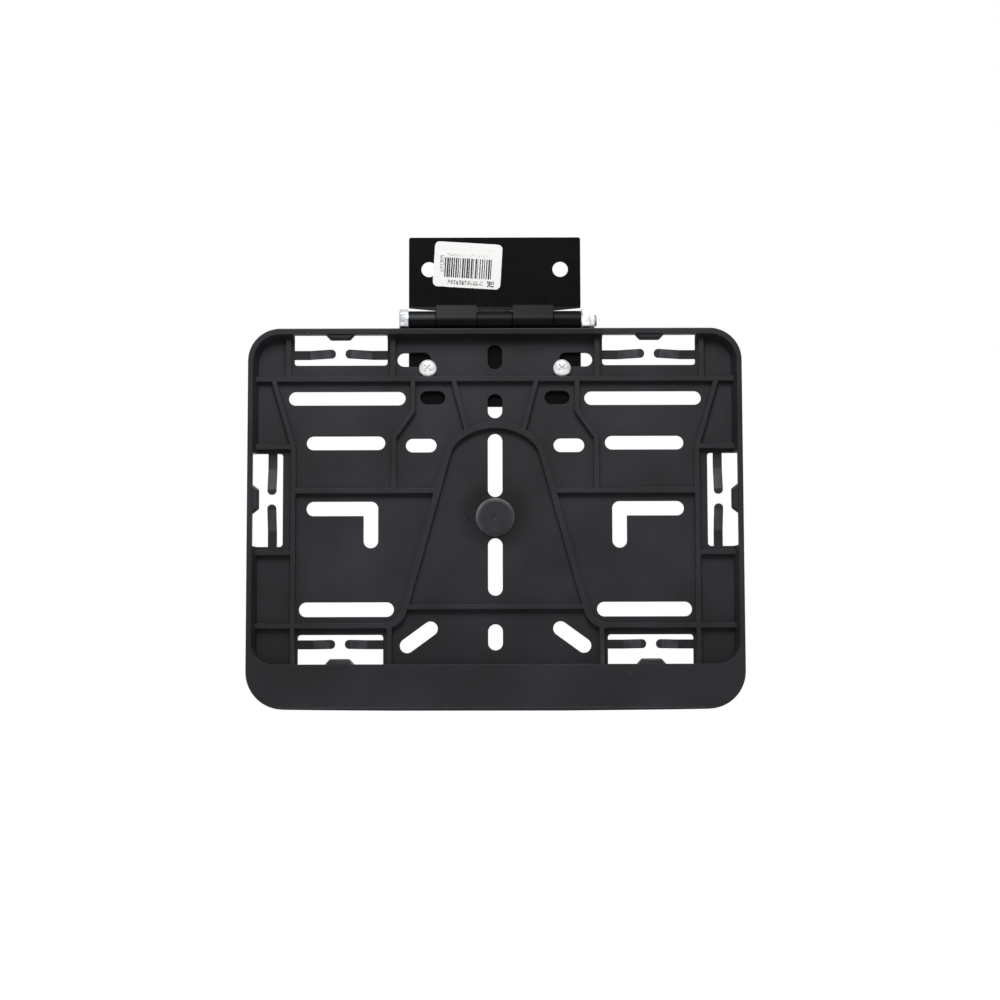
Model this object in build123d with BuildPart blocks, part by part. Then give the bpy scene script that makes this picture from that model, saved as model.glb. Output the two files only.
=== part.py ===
from build123d import *
import os
from math import cos, radians, sin, sqrt, tan

# Hinged number plate holder for a motorcycle, in millimetres.
# X runs to the right, Y away from the viewer and Z up, and the plate side faces -Y.
# The origin lies midway between the two mounting holes, on the back of the upper leaf.

# Hinge leaves
sheet = 1.5
leaf_width = 77.2
upper_leaf_height = 38.9
lower_leaf_height = 38.3
leaf_corner = 1.0
leaf_gap = 0.9
leaf_end_gap = 2.1
hole_height = 24.3
hole_margin = 9.1
hole_radius = 3.5

# Knuckles: the lower leaf has three, the upper leaf two between them
centre_knuckle = 15.5
inner_knuckle = 18.2
knuckle_gap = 0.25
upper_curl = 209.0
lower_curl = 250.0
tab_length = 6.0
tab_corner = 0.8

# Hinge bolt and its locking nut
pin_radius = 2.95
pin_clearance = 0.05
bolt_flats = 10.0
bolt_head = 4.0
bolt_tip = 1.0
bolt_chamfer = 0.5
nut_hex = 4.3
nut_collar = 1.7
collar_wall = 0.6
collar_lip = 0.4
insert_wall = 1.0
insert_clearance = 0.03
hex_bevel = 0.6
hex_turn = 30.0

# Frame shell
frame_width = 220.0
frame_height = 170.5
frame_depth = 8.0
frame_draft = 10.0
rim_gap = 3.9
groove_clearance = 0.25
groove_end = 2.0
bottom_bow = 1.3
top_corner = 14.5
bottom_corner = 16.7
rim_round = 0.6
rim_top = 2.8
rim_side = 2.4
wall_slope = 2.0
recess_top_corner = 12.0
recess_bottom_corner = 9.7
floor = 2.0
lip_height = 20.8
lip_round = 2.5
lip_face = 2.0
lip_wall = 2.0

# Ribs: places across are from the centre line, drops are from the top edge
rib_width = 2.4
rib_height = 2.5
rib_bite = 0.4
cross_rib_drop = 22.4
middle_rib_drop = 72.6
foot_rib_rise = 17.1
side_pocket = 17.8
window_rib_inner = 45.6
window_rib_margin = 2.45
brace_margin = 9.0
side_rib_drops = (52.8, 100.1)
step_rib_inner = 36.6
step_rib_outer = 45.1
step_start_drop = 36.6
step_end_drop = 48.6
foot_rib_inner = 46.9
fan_rib_top = 18.6
fan_rib_foot = 12.4

# Bell-shaped rib
bell_crown_drop = 43.2
bell_radius = 26.5
bell_crown_turn = 38.0
bell_shoulder = 13.9
bell_slope = 15.5
bell_rib_width = 3.0
bell_flare = 9.0
bell_foot_rise = 8.3

# Gate disc at the middle of the bell
gate_drop = 84.4
gate_radius = 8.75
gate_face_radius = 6.9
gate_height = 1.6
gate_edge = 0.6
gate_dimple_radius = 1.3
gate_dimple_depth = 0.5
gate_slot_gap = 0.45

# Windows with their hooks and spring tongues
window_inner = 48.05
window_margin = 0.15
window_bottom_drop = 15.9
window_corner = 1.4
window_relief = 0.7
side_relief = 0.45
relief_land = 2.0
side_window_width = 13.1
side_window_length = 41.7
foot_window_inner = 49.7
foot_window_margin = 2.3
foot_window_height = 13.25
hook_root = 13.6
hook_tip = 8.8
hook_reach = 2.6
side_hook_reach = 3.1
hook_thickness = 2.2
hook_set = 0.7
hook_corner = 1.6
hook_taper = 25.0
hook_bite = 1.6
tongue_width = 4.0
tongue_thickness = 1.4
tongue_gap = 4.3
tongue_kink = 7.0
tongue_tip = 2.4
tongue_rise = 3.4
tongue_bite = 0.6
tongue_tip_round = 1.9
top_tongue_drop = 11.1
side_tongue_inset = 8.5
foot_tongue_rise = 8.95

# Slots with round ends
slot_width = 6.25
wide_slot = 6.5
top_slot_inner = 28.8
top_slot_outer = 43.6
top_slot_drop = 13.35
long_slot_inner = 39.95
long_slot_margin = 2.3
long_slot_drop = 30.8
dark_slot_inner = 22.3
dark_slot_outer = 33.3
dark_slot_width = 6.0
dark_slot_drop = 30.6
middle_slot_inner = 49.0
middle_slot_margin = 5.75
middle_slot_drop = 50.9
small_slot_inner = 26.1
small_slot_outer = 39.8
small_slot_drop = 52.0
angle_slot_inner = 52.05
angle_slot_margin = 5.8
angle_slot_drop = 77.1
angle_slot_leg = 20.85
foot_slot_inner = 45.0
foot_slot_margin = 2.7
foot_slot_rise = 7.35
fan_slot_inner = 28.8
fan_slot_outer = 39.1
fan_slot_rise = 15.9
fan_slot_fall = 7.5
first_slot = (6.7, 17.7)
first_slot_width = 6.3
second_slot = (29.0, 39.8)
second_slot_width = 6.4
crown_slot_gap = 3.6
lower_slot_gap = 5.1
lip_slot_length = 11.55
lip_slot_rise = 6.3

# Screws that hold the frame to the lower leaf
screw_margin = 8.6
screw_drop = 17.5
screw_radius = 1.95
screw_clearance = 0.2
thread_clearance = 0.05
screw_length = 8.0
screw_head_radius = 3.9
screw_head_height = 2.9
screw_head_side = 1.3
recess_span = 4.4
recess_width = 1.0
recess_depth = 1.5
recess_taper = 8.0
nut_flats = 7.0
nut_height = 3.2

# Places that follow from the sizes above
bore_radius = pin_radius + pin_clearance
barrel_radius = bore_radius + sheet
axis_y = -barrel_radius
axis_z = -hole_height
hinge_axis = Axis((0, axis_y, axis_z), (1, 0, 0))
back_level = sheet
floor_level = back_level + floor
front_level = back_level + frame_depth
draft_run = frame_depth * tan(radians(frame_draft))
frame_top = axis_z - rim_gap
lip_drop = frame_height - lip_height
foot_rib_drop = lip_drop - foot_rib_rise
bell_foot_drop = foot_rib_drop - bell_foot_rise
rim_inner = frame_width / 2 - rim_side
panel_half = rim_inner - side_pocket
bell_centre_drop = bell_crown_drop + bell_radius
shoulder_across = bell_shoulder * cos(radians(bell_slope))
shoulder_across += (bell_radius - bell_shoulder) * sin(radians(bell_crown_turn))
shoulder_drop = bell_centre_drop - bell_shoulder * sin(radians(bell_slope))
shoulder_drop -= (bell_radius - bell_shoulder) * cos(radians(bell_crown_turn))
gate_slot_top = gate_drop - gate_radius - gate_slot_gap
gate_slot_bottom = gate_drop + gate_radius + gate_slot_gap
upper_knuckle_start = centre_knuckle / 2 + knuckle_gap
upper_knuckle_end = upper_knuckle_start + inner_knuckle
outer_knuckle_start = upper_knuckle_end + knuckle_gap
outer_knuckle = leaf_width / 2 - outer_knuckle_start
hole_spacing = leaf_width - 2 * hole_margin
screw_across = leaf_width / 2 - screw_margin
screw_z = frame_top - screw_drop
hex_corner = bolt_flats / 2 / cos(radians(hex_turn))
hex_face = (bolt_flats - hex_bevel) / 2
nut_seat = leaf_width / 2
nut_end = nut_seat + nut_hex + nut_collar
bolt_end = nut_end + bolt_tip

os.makedirs("parts", exist_ok=True)


def facing(level):
    """Plane parallel to the plate, at a level in front of the mounting face."""
    return Plane.XZ.offset(level)


def below(across, drop):
    """Point on such a plane, from the frame's centre line and its top edge."""
    return (across, frame_top - drop)


def bell_side(drop):
    """Distance of the bell's straight side from the centre line."""
    return shoulder_across + (drop - shoulder_drop) * tan(radians(bell_slope))


def shell_outline(level, inset):
    """Outline of the frame with a slightly bowed lower edge."""
    half = frame_width / 2 - inset
    top = frame_top - inset
    low = frame_top - frame_height + inset
    with BuildSketch(facing(level)) as outline:
        with BuildLine():
            Polyline((-half, low + bottom_bow), (-half, top), (half, top), (half, low + bottom_bow))
            ThreePointArc((half, low + bottom_bow), (0, low), (-half, low + bottom_bow))
        make_face()
        fillet(outline.vertices().group_by(Axis.Y)[-1], top_corner - inset)
        fillet(outline.vertices().group_by(Axis.Y)[0], bottom_corner - inset)
    return outline.sketch


def recess_outline(level, run):
    """Outline of the plate recess, its sides and top moved inwards by a run."""
    half = rim_inner - run
    with BuildSketch(facing(level)) as outline:
        with BuildLine():
            Polyline(
                below(-half, lip_drop),
                below(-half, rim_top + run),
                below(half, rim_top + run),
                below(half, lip_drop),
                close=True,
            )
        make_face()
        fillet(outline.vertices().group_by(Axis.Y)[-1], recess_top_corner - run)
        fillet(outline.vertices().group_by(Axis.Y)[0], recess_bottom_corner - run)
    return outline.sketch


def spring_tongue(reach):
    """Tongue along X from a flat root at X = 0, rising along Z to a round tip."""
    slope_end = reach - tongue_tip
    with BuildPart() as tongue:
        with BuildSketch(Plane.XZ):
            with BuildLine():
                Polyline(
                    (-tongue_bite, 0),
                    (tongue_kink, 0),
                    (slope_end, tongue_rise),
                    (reach, tongue_rise),
                    (reach, tongue_rise + tongue_thickness),
                    (slope_end, tongue_rise + tongue_thickness),
                    (tongue_kink, tongue_thickness),
                    (-tongue_bite, tongue_thickness),
                    close=True,
                )
            make_face()
        extrude(amount=tongue_width / 2, both=True)
        tip_edges = tongue.edges().filter_by(Axis.Z).group_by(Axis.X)[-1]
        fillet(tip_edges, tongue_tip_round)
    return tongue.part


def tongue_place(across, drop, along):
    """Plane at a tongue's root, with X along the tongue and Z to the front."""
    root = (across, -back_level, frame_top - drop)
    return Plane(origin=root, x_dir=along, z_dir=(0, -1, 0))


def hook_outline(across, drop, inward, reach):
    """Tapered tab from the rim into a window, on the plane of the hook's back."""
    root_across = (inward[1] * hook_root / 2, inward[0] * hook_root / 2)
    tip_across = (inward[1] * hook_tip / 2, inward[0] * hook_tip / 2)
    foot = Vector(*below(across, drop)) - Vector(*inward) * hook_bite
    edge = Vector(*below(across, drop))
    tip = edge + Vector(*inward) * reach
    with BuildSketch(facing(front_level - hook_set - hook_thickness)) as outline:
        with BuildLine():
            Polyline(
                foot - Vector(*root_across),
                edge - Vector(*root_across),
                tip - Vector(*tip_across),
                tip + Vector(*tip_across),
                edge + Vector(*root_across),
                foot + Vector(*root_across),
                close=True,
            )
        make_face()
        fillet(outline.vertices().sort_by_distance(tuple(tip))[:2], hook_corner)
    return outline.sketch


# Upper leaf: fixed to the vehicle, with two open knuckles under the pin
with BuildPart() as upper_leaf:
    plate_low = axis_z + barrel_radius + leaf_gap
    end_low = axis_z + barrel_radius + leaf_end_gap
    plate_high = axis_z + upper_leaf_height
    with BuildSketch(facing(0)) as plate:
        with BuildLine():
            Polyline(
                (-leaf_width / 2, end_low),
                (-upper_knuckle_end, plate_low),
                (upper_knuckle_end, plate_low),
                (leaf_width / 2, end_low),
                (leaf_width / 2, plate_high),
                (-leaf_width / 2, plate_high),
                close=True,
            )
        make_face()
        fillet(plate.vertices().group_by(Axis.Y)[-1], leaf_corner)
        with GridLocations(hole_spacing, 0, 2, 1):
            Circle(hole_radius, mode=Mode.SUBTRACT)
    extrude(amount=sheet)
    curl_end = Vector(0, cos(radians(upper_curl)), -sin(radians(upper_curl)))
    for start in (upper_knuckle_start, -upper_knuckle_end):
        with BuildSketch(Plane.YZ.offset(start)):
            with BuildLine():
                Line((-sheet / 2, plate_low + sheet), (-sheet / 2, axis_z))
                CenterArc((axis_y, axis_z), barrel_radius - sheet / 2, 0, -upper_curl)
            trace(line_width=sheet)
        extrude(amount=inner_knuckle)
        tab_root = Vector(start, axis_y, axis_z) + curl_end * bore_radius
        with BuildSketch(Plane(origin=tab_root, x_dir=(1, 0, 0), z_dir=curl_end)) as tab:
            Rectangle(inner_knuckle, tab_length, align=(Align.MIN, Align.MIN))
            fillet(tab.vertices().group_by(Axis.Y)[-1], tab_corner)
        extrude(amount=sheet)
upper_leaf.part.label = "upper_leaf"
export_step(upper_leaf.part, "parts/upper_leaf.step")

# Lower leaf: behind the frame, with three knuckles curled over the pin
with BuildPart() as lower_leaf:
    plate_high = axis_z - barrel_radius - leaf_gap
    plate_low = axis_z - lower_leaf_height
    with BuildSketch(facing(0)) as plate:
        with Locations((0, (plate_low + plate_high) / 2)):
            Rectangle(leaf_width, plate_high - plate_low)
        fillet(plate.vertices().group_by(Axis.Y)[0], leaf_corner)
        with Locations((-screw_across, screw_z), (screw_across, screw_z)):
            Circle(screw_radius + screw_clearance, mode=Mode.SUBTRACT)
    extrude(amount=sheet)
    knuckles = (
        (-leaf_width / 2, outer_knuckle),
        (-centre_knuckle / 2, centre_knuckle),
        (outer_knuckle_start, outer_knuckle),
    )
    for start, width in knuckles:
        with BuildSketch(Plane.YZ.offset(start)):
            with BuildLine():
                Line((-sheet / 2, plate_high - sheet), (-sheet / 2, axis_z))
                CenterArc((axis_y, axis_z), barrel_radius - sheet / 2, 0, lower_curl)
            trace(line_width=sheet)
        extrude(amount=width)
lower_leaf.part.label = "lower_leaf"
export_step(lower_leaf.part, "parts/lower_leaf.step")

# Hinge bolt: bevelled hex head at the left, shank through the knuckles
with BuildPart() as hinge_bolt:
    head_face = -leaf_width / 2 - bolt_head
    with BuildSketch(Plane.YZ.offset(head_face)):
        with Locations((axis_y, axis_z)):
            RegularPolygon(bolt_flats / 2, 6, major_radius=False, rotation=hex_turn)
    extrude(amount=bolt_head)
    with BuildSketch(Plane.XY.offset(axis_z)):
        with BuildLine():
            Polyline(
                (head_face, axis_y),
                (head_face, axis_y + hex_face),
                (head_face + hex_bevel, axis_y + hex_corner),
                (-leaf_width / 2, axis_y + hex_corner),
                (-leaf_width / 2, axis_y),
                close=True,
            )
        make_face()
    revolve(axis=hinge_axis, mode=Mode.INTERSECT)
    with BuildSketch(Plane.YZ.offset(-leaf_width / 2)):
        with Locations((axis_y, axis_z)):
            Circle(pin_radius)
    extrude(amount=bolt_end + leaf_width / 2)
    chamfer(hinge_bolt.faces().sort_by(Axis.X)[-1].edges(), bolt_chamfer)
hinge_bolt.part.label = "hinge_bolt"
export_step(hinge_bolt.part, "parts/hinge_bolt.step")

# Locking nut: hex with a round collar that holds the nylon ring
insert_inner = pin_radius + thread_clearance
insert_outer = insert_inner + insert_wall
collar_outer = insert_outer + insert_clearance + collar_wall
with BuildPart() as hinge_nut:
    with BuildSketch(Plane.YZ.offset(nut_seat)):
        with Locations((axis_y, axis_z)):
            RegularPolygon(bolt_flats / 2, 6, major_radius=False, rotation=hex_turn)
    extrude(amount=nut_hex)
    with BuildSketch(Plane.XY.offset(axis_z)):
        with BuildLine():
            Polyline(
                (nut_seat, axis_y),
                (nut_seat, axis_y + hex_face),
                (nut_seat + hex_bevel, axis_y + hex_corner),
                (nut_seat + nut_hex - hex_bevel, axis_y + hex_corner),
                (nut_seat + nut_hex, axis_y + hex_face),
                (nut_seat + nut_hex, axis_y),
                close=True,
            )
        make_face()
    revolve(axis=hinge_axis, mode=Mode.INTERSECT)
    with BuildSketch(Plane.YZ.offset(nut_seat + nut_hex)):
        with Locations((axis_y, axis_z)):
            Circle(collar_outer)
    extrude(amount=nut_collar)
    chamfer(hinge_nut.faces().sort_by(Axis.X)[-1].edges(), collar_wall)
    with BuildSketch(Plane.YZ.offset(nut_seat)):
        with Locations((axis_y, axis_z)):
            Circle(insert_inner)
    extrude(amount=nut_hex + nut_collar, mode=Mode.SUBTRACT)
    with BuildSketch(Plane.YZ.offset(nut_seat + nut_hex)):
        with Locations((axis_y, axis_z)):
            Circle(insert_outer + insert_clearance)
    extrude(amount=nut_collar - collar_lip, mode=Mode.SUBTRACT)
hinge_nut.part.label = "hinge_nut"
export_step(hinge_nut.part, "parts/hinge_nut.step")

# Nylon ring between the hex and the collar's lip
with BuildPart() as hinge_nut_insert:
    with BuildSketch(Plane.YZ.offset(nut_seat + nut_hex)):
        with Locations((axis_y, axis_z)):
            Circle(insert_outer)
            Circle(insert_inner, mode=Mode.SUBTRACT)
    extrude(amount=nut_collar - collar_lip)
hinge_nut_insert.part.label = "hinge_nut_insert"
export_step(hinge_nut_insert.part, "parts/hinge_nut_insert.step")

# Tongues of the top, side and foot windows
window_outer = panel_half - window_margin
foot_window_outer = panel_half - foot_window_margin
top_tongue = spring_tongue((window_outer - window_inner - tongue_gap) / 2)
side_tongue = spring_tongue((side_window_length - tongue_gap) / 2)
foot_tongue = spring_tongue((foot_window_outer - foot_window_inner - tongue_gap) / 2)

# Frame: drafted shell with a plate recess, ribs, slots, windows, hooks and tongues
with BuildPart() as holder_frame:
    loft([shell_outline(back_level, draft_run), shell_outline(front_level, 0)], ruled=True)
    fillet(holder_frame.faces().sort_by(Axis.Y)[0].edges(), rim_round)

    # Rounded lower edge of the lip
    with BuildSketch(Plane.YZ) as lip_section:
        with Locations((-front_level, frame_top - frame_height)):
            Rectangle(2 * frame_depth, 2 * frame_height, align=(Align.MIN, Align.MIN))
        fillet(lip_section.vertices().sort_by(Axis.X)[:2].sort_by(Axis.Y)[0], lip_round)
    extrude(amount=frame_width, both=True, mode=Mode.INTERSECT)

    # Groove in the top wall that clears the hinge barrel, the bolt head and the nut
    groove_radius = hex_corner + groove_clearance
    groove_start = -leaf_width / 2 - bolt_head - groove_end
    with BuildSketch(Plane.YZ.offset(groove_start)):
        with Locations((axis_y, axis_z)):
            Circle(groove_radius)
    extrude(amount=bolt_end + groove_end - groove_start, mode=Mode.SUBTRACT)

    # Plate recess with sloped walls, and the hollow behind the lip
    loft(
        [recess_outline(front_level, 0), recess_outline(floor_level, wall_slope)],
        ruled=True,
        mode=Mode.SUBTRACT,
    )
    hollow_half = frame_width / 2 - draft_run - lip_wall
    hollow_low = frame_height - bottom_bow - draft_run - lip_wall
    with BuildSketch(facing(back_level)) as lip_hollow:
        with BuildLine():
            Polyline(
                below(-hollow_half, lip_drop + lip_wall),
                below(hollow_half, lip_drop + lip_wall),
                below(hollow_half, hollow_low),
                below(-hollow_half, hollow_low),
                close=True,
            )
        make_face()
        hollow_corner = bottom_corner - draft_run - lip_wall
        fillet(lip_hollow.vertices().group_by(Axis.Y)[0], hollow_corner)
    extrude(amount=frame_depth - lip_face, mode=Mode.SUBTRACT)

    # Ribs on the floor, drawn on the right and mirrored
    rib_end = rim_inner + rib_bite
    brace_across = panel_half + brace_margin
    fan_foot_drop = bell_centre_drop - sqrt(bell_radius**2 - fan_rib_foot**2)
    rib_paths = [
        [below(0, cross_rib_drop), below(rib_end, cross_rib_drop)],
        [below(bell_side(middle_rib_drop), middle_rib_drop), below(panel_half, middle_rib_drop)],
        [below(foot_rib_inner, foot_rib_drop), below(rib_end, foot_rib_drop)],
        [below(0, bell_foot_drop), below(bell_side(bell_foot_drop), bell_foot_drop)],
        [below(window_rib_inner, rim_top), below(window_rib_inner, cross_rib_drop)],
        [
            below(panel_half + window_rib_margin, rim_top),
            below(panel_half + window_rib_margin, cross_rib_drop),
        ],
        [below(foot_rib_inner, foot_rib_drop), below(foot_rib_inner, lip_drop + rib_bite)],
        [below(fan_rib_top, cross_rib_drop), below(fan_rib_foot, fan_foot_drop)],
        [
            below(step_rib_inner, cross_rib_drop),
            below(step_rib_inner, step_start_drop),
            below(step_rib_outer, step_end_drop),
            below(step_rib_outer, middle_rib_drop),
        ],
        [
            below(brace_across, cross_rib_drop),
            below(panel_half, side_rib_drops[0]),
            below(panel_half, lip_drop + rib_bite),
        ],
    ]
    for drop in side_rib_drops:
        rib_paths.append([below(panel_half, drop), below(rib_end, drop)])
    with BuildSketch(facing(floor_level)):
        for path in rib_paths:
            with BuildLine():
                Polyline(*path)
            trace(line_width=rib_width)
        flare_drop = foot_rib_drop - bell_flare * (1 - sin(radians(bell_slope)))
        with BuildLine():
            crown = JernArc(below(0, bell_crown_drop), (1, 0), bell_radius, -bell_crown_turn)
            shoulder = JernArc(crown @ 1, crown % 1, bell_shoulder, bell_crown_turn + bell_slope - 90)
            limb = Line(shoulder @ 1, below(bell_side(flare_drop), flare_drop))
            JernArc(limb @ 1, limb % 1, bell_flare, 90 - bell_slope)
        trace(line_width=bell_rib_width)
        mirror(about=Plane.YZ)
    extrude(amount=rib_height)

    # Gate disc with a bevelled edge and a small dimple
    with BuildSketch(Plane.XY.offset(frame_top - gate_drop)):
        with BuildLine():
            Polyline(
                (0, -floor_level + gate_edge),
                (gate_radius, -floor_level + gate_edge),
                (gate_radius, -floor_level - gate_edge),
                (gate_face_radius, -floor_level - gate_height),
                (gate_dimple_radius, -floor_level - gate_height),
                (0, -floor_level - gate_height + gate_dimple_depth),
                close=True,
            )
        make_face()
    revolve(axis=Axis((0, 0, frame_top - gate_drop), (0, 1, 0)))

    # Slots with round ends, drawn on the right and mirrored
    level_slots = (
        (top_slot_inner, top_slot_outer, top_slot_drop, slot_width),
        (long_slot_inner, panel_half + long_slot_margin, long_slot_drop, slot_width),
        (dark_slot_inner, dark_slot_outer, dark_slot_drop, dark_slot_width),
        (middle_slot_inner, panel_half - middle_slot_margin, middle_slot_drop, slot_width),
        (small_slot_inner, small_slot_outer, small_slot_drop, slot_width),
        (
            angle_slot_inner,
            panel_half - angle_slot_margin,
            angle_slot_drop + wide_slot / 2,
            wide_slot,
        ),
        (foot_slot_inner, panel_half - foot_slot_margin, foot_rib_drop - foot_slot_rise, wide_slot),
    )
    lip_slot_top = lip_drop - lip_slot_rise - lip_slot_length
    upright_slots = (
        (*first_slot, first_slot_width),
        (*second_slot, second_slot_width),
        (bell_crown_drop + crown_slot_gap, gate_slot_top, wide_slot),
        (gate_slot_bottom, bell_foot_drop - lower_slot_gap, wide_slot),
        (lip_slot_top, lip_slot_top + lip_slot_length, wide_slot),
    )
    fan_start = Vector(*below(fan_slot_inner, lip_drop - fan_slot_rise))
    fan_end = Vector(*below(fan_slot_outer, lip_drop - fan_slot_rise + fan_slot_fall))
    with BuildSketch(facing(back_level)):
        for inner, outer, drop, width in level_slots:
            with Locations(below((inner + outer) / 2, drop)):
                SlotOverall(outer - inner, width)
        leg_across = angle_slot_inner + wide_slot / 2
        with Locations(below(leg_across, angle_slot_drop + angle_slot_leg / 2)):
            SlotOverall(angle_slot_leg, wide_slot, rotation=90)
        with BuildLine():
            fan_line = Line(fan_start, fan_end)
        SlotArc(fan_line, wide_slot)
        mirror(about=Plane.YZ)
        for start, end, width in upright_slots:
            with Locations(below(0, (start + end) / 2)):
                SlotOverall(end - start, width, rotation=90)
    extrude(amount=floor, mode=Mode.SUBTRACT)

    # Screw holes, and a flat for each screw head where it meets the rib
    with BuildSketch(facing(back_level)):
        with Locations(below(-screw_across, screw_drop), below(screw_across, screw_drop)):
            Circle(screw_radius + screw_clearance)
    extrude(amount=floor, mode=Mode.SUBTRACT)
    with BuildSketch(facing(floor_level)):
        with Locations(below(-screw_across, screw_drop), below(screw_across, screw_drop)):
            Circle(screw_head_radius + screw_clearance)
    extrude(amount=rib_height, mode=Mode.SUBTRACT)

    # Windows through the floor, up to the rim and the lip
    side_window_drop = sum(side_rib_drops) / 2
    with BuildSketch(facing(back_level)) as windows:
        with BuildLine():
            Polyline(
                below(window_inner, rim_top),
                below(window_outer, rim_top),
                below(window_outer, window_bottom_drop),
                below(window_inner, window_bottom_drop),
                close=True,
            )
        make_face()
        with BuildLine():
            Polyline(
                below(foot_window_inner, lip_drop),
                below(foot_window_outer, lip_drop),
                below(foot_window_outer, lip_drop - foot_window_height),
                below(foot_window_inner, lip_drop - foot_window_height),
                close=True,
            )
        make_face()
        with Locations(below(rim_inner, side_window_drop)):
            Rectangle(side_window_width, side_window_length, align=(Align.MAX, Align.CENTER))
        inner_corners = windows.vertices().filter_by_position(
            Axis.Y, frame_top - lip_drop, frame_top - rim_top, inclusive=(False, False)
        )
        inner_corners = inner_corners.filter_by_position(Axis.X, 0, rim_inner, inclusive=(True, False))
        fillet(inner_corners, window_corner)
        mirror(about=Plane.YZ)
    extrude(amount=frame_depth, mode=Mode.SUBTRACT)

    # Windows widen towards the back, behind the rim's face
    for side in (-1, 1):
        window_start = min(side * window_inner, side * window_outer)
        with BuildSketch(Plane.YZ.offset(window_start)):
            with BuildLine():
                Polyline(
                    (-front_level + relief_land, frame_top - rim_top),
                    (-back_level, frame_top - rim_top + window_relief),
                    (-back_level, frame_top - rim_top),
                    close=True,
                )
            make_face()
        extrude(amount=window_outer - window_inner, mode=Mode.SUBTRACT)
        with BuildSketch(Plane.XY.offset(frame_top - side_window_drop)):
            with BuildLine():
                Polyline(
                    (side * rim_inner, -front_level + relief_land),
                    (side * (rim_inner + side_relief), -back_level),
                    (side * rim_inner, -back_level),
                    close=True,
                )
            make_face()
        extrude(amount=side_window_length / 2, both=True, mode=Mode.SUBTRACT)

    # Retaining hooks on the outer edge of each window
    window_middle = (window_inner + window_outer) / 2
    foot_window_middle = (foot_window_inner + foot_window_outer) / 2
    for side in (-1, 1):
        hooks = (
            hook_outline(side * window_middle, rim_top, (0, -1), hook_reach),
            hook_outline(side * rim_inner, side_window_drop, (-side, 0), side_hook_reach),
            hook_outline(side * foot_window_middle, lip_drop, (0, 1), hook_reach),
        )
        for hook in hooks:
            extrude(hook, amount=hook_thickness, taper=hook_taper)

    # Spring tongues, a pair in each window
    for side in (-1, 1):
        top_places = (
            tongue_place(side * window_inner, top_tongue_drop, (side, 0, 0)),
            tongue_place(side * window_outer, top_tongue_drop, (-side, 0, 0)),
        )
        with Locations(*top_places):
            add(top_tongue)
        foot_places = (
            tongue_place(side * foot_window_inner, lip_drop - foot_tongue_rise, (side, 0, 0)),
            tongue_place(side * foot_window_outer, lip_drop - foot_tongue_rise, (-side, 0, 0)),
        )
        with Locations(*foot_places):
            add(foot_tongue)
        side_across = side * (rim_inner - side_tongue_inset)
        window_ends = (
            side_window_drop - side_window_length / 2,
            side_window_drop + side_window_length / 2,
        )
        side_places = (
            tongue_place(side_across, window_ends[0], (0, 0, -1)),
            tongue_place(side_across, window_ends[1], (0, 0, 1)),
        )
        with Locations(*side_places):
            add(side_tongue)
holder_frame.part.label = "holder_frame"
export_step(holder_frame.part, "parts/holder_frame.step")

# Screws with domed heads and a cross recess, and the nuts behind the lower leaf
for side, across in (("left", -screw_across), ("right", screw_across)):
    screw_axis = Axis((across, 0, screw_z), (0, 1, 0))
    with BuildPart() as frame_screw:
        with BuildSketch(Plane.XY.offset(screw_z)):
            with BuildLine():
                side_top = (across + screw_head_radius, -floor_level - screw_head_side)
                crown_top = (across, -floor_level - screw_head_height)
                Polyline(
                    crown_top,
                    (across, -floor_level),
                    (across + screw_head_radius, -floor_level),
                    side_top,
                )
                TangentArc(crown_top, side_top, tangent=(1, 0))
            make_face()
        revolve(axis=screw_axis)
        with BuildSketch(facing(floor_level)):
            with Locations((across, screw_z)):
                Circle(screw_radius)
        extrude(amount=-screw_length)
        with BuildSketch(facing(floor_level + screw_head_height)):
            with Locations((across, screw_z)):
                Rectangle(recess_span, recess_width)
                Rectangle(recess_width, recess_span)
        extrude(amount=-recess_depth, taper=recess_taper, mode=Mode.SUBTRACT)
    frame_screw.part.label = f"frame_screw_{side}"
    export_step(frame_screw.part, f"parts/frame_screw_{side}.step")

    with BuildPart() as frame_nut:
        with BuildSketch(facing(0)):
            with Locations((across, screw_z)):
                RegularPolygon(nut_flats / 2, 6, major_radius=False)
                Circle(screw_radius + thread_clearance, mode=Mode.SUBTRACT)
        extrude(amount=-nut_height)
    frame_nut.part.label = f"frame_nut_{side}"
    export_step(frame_nut.part, f"parts/frame_nut_{side}.step")
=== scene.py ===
"""Looks of a hinged number plate holder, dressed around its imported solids.

Every length is in metres in the row's frame: X to the right, Y away from the viewer, Z up.
The plate side faces -Y, and the hinge axis runs along X. A field that ends in _mm is in millimetres.
"""

import logging
from dataclasses import dataclass
from enum import Enum
from math import cos, pi, radians, sin
from typing import Any

import bmesh
import bpy
import numpy as np
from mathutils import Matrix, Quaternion, Vector


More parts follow.
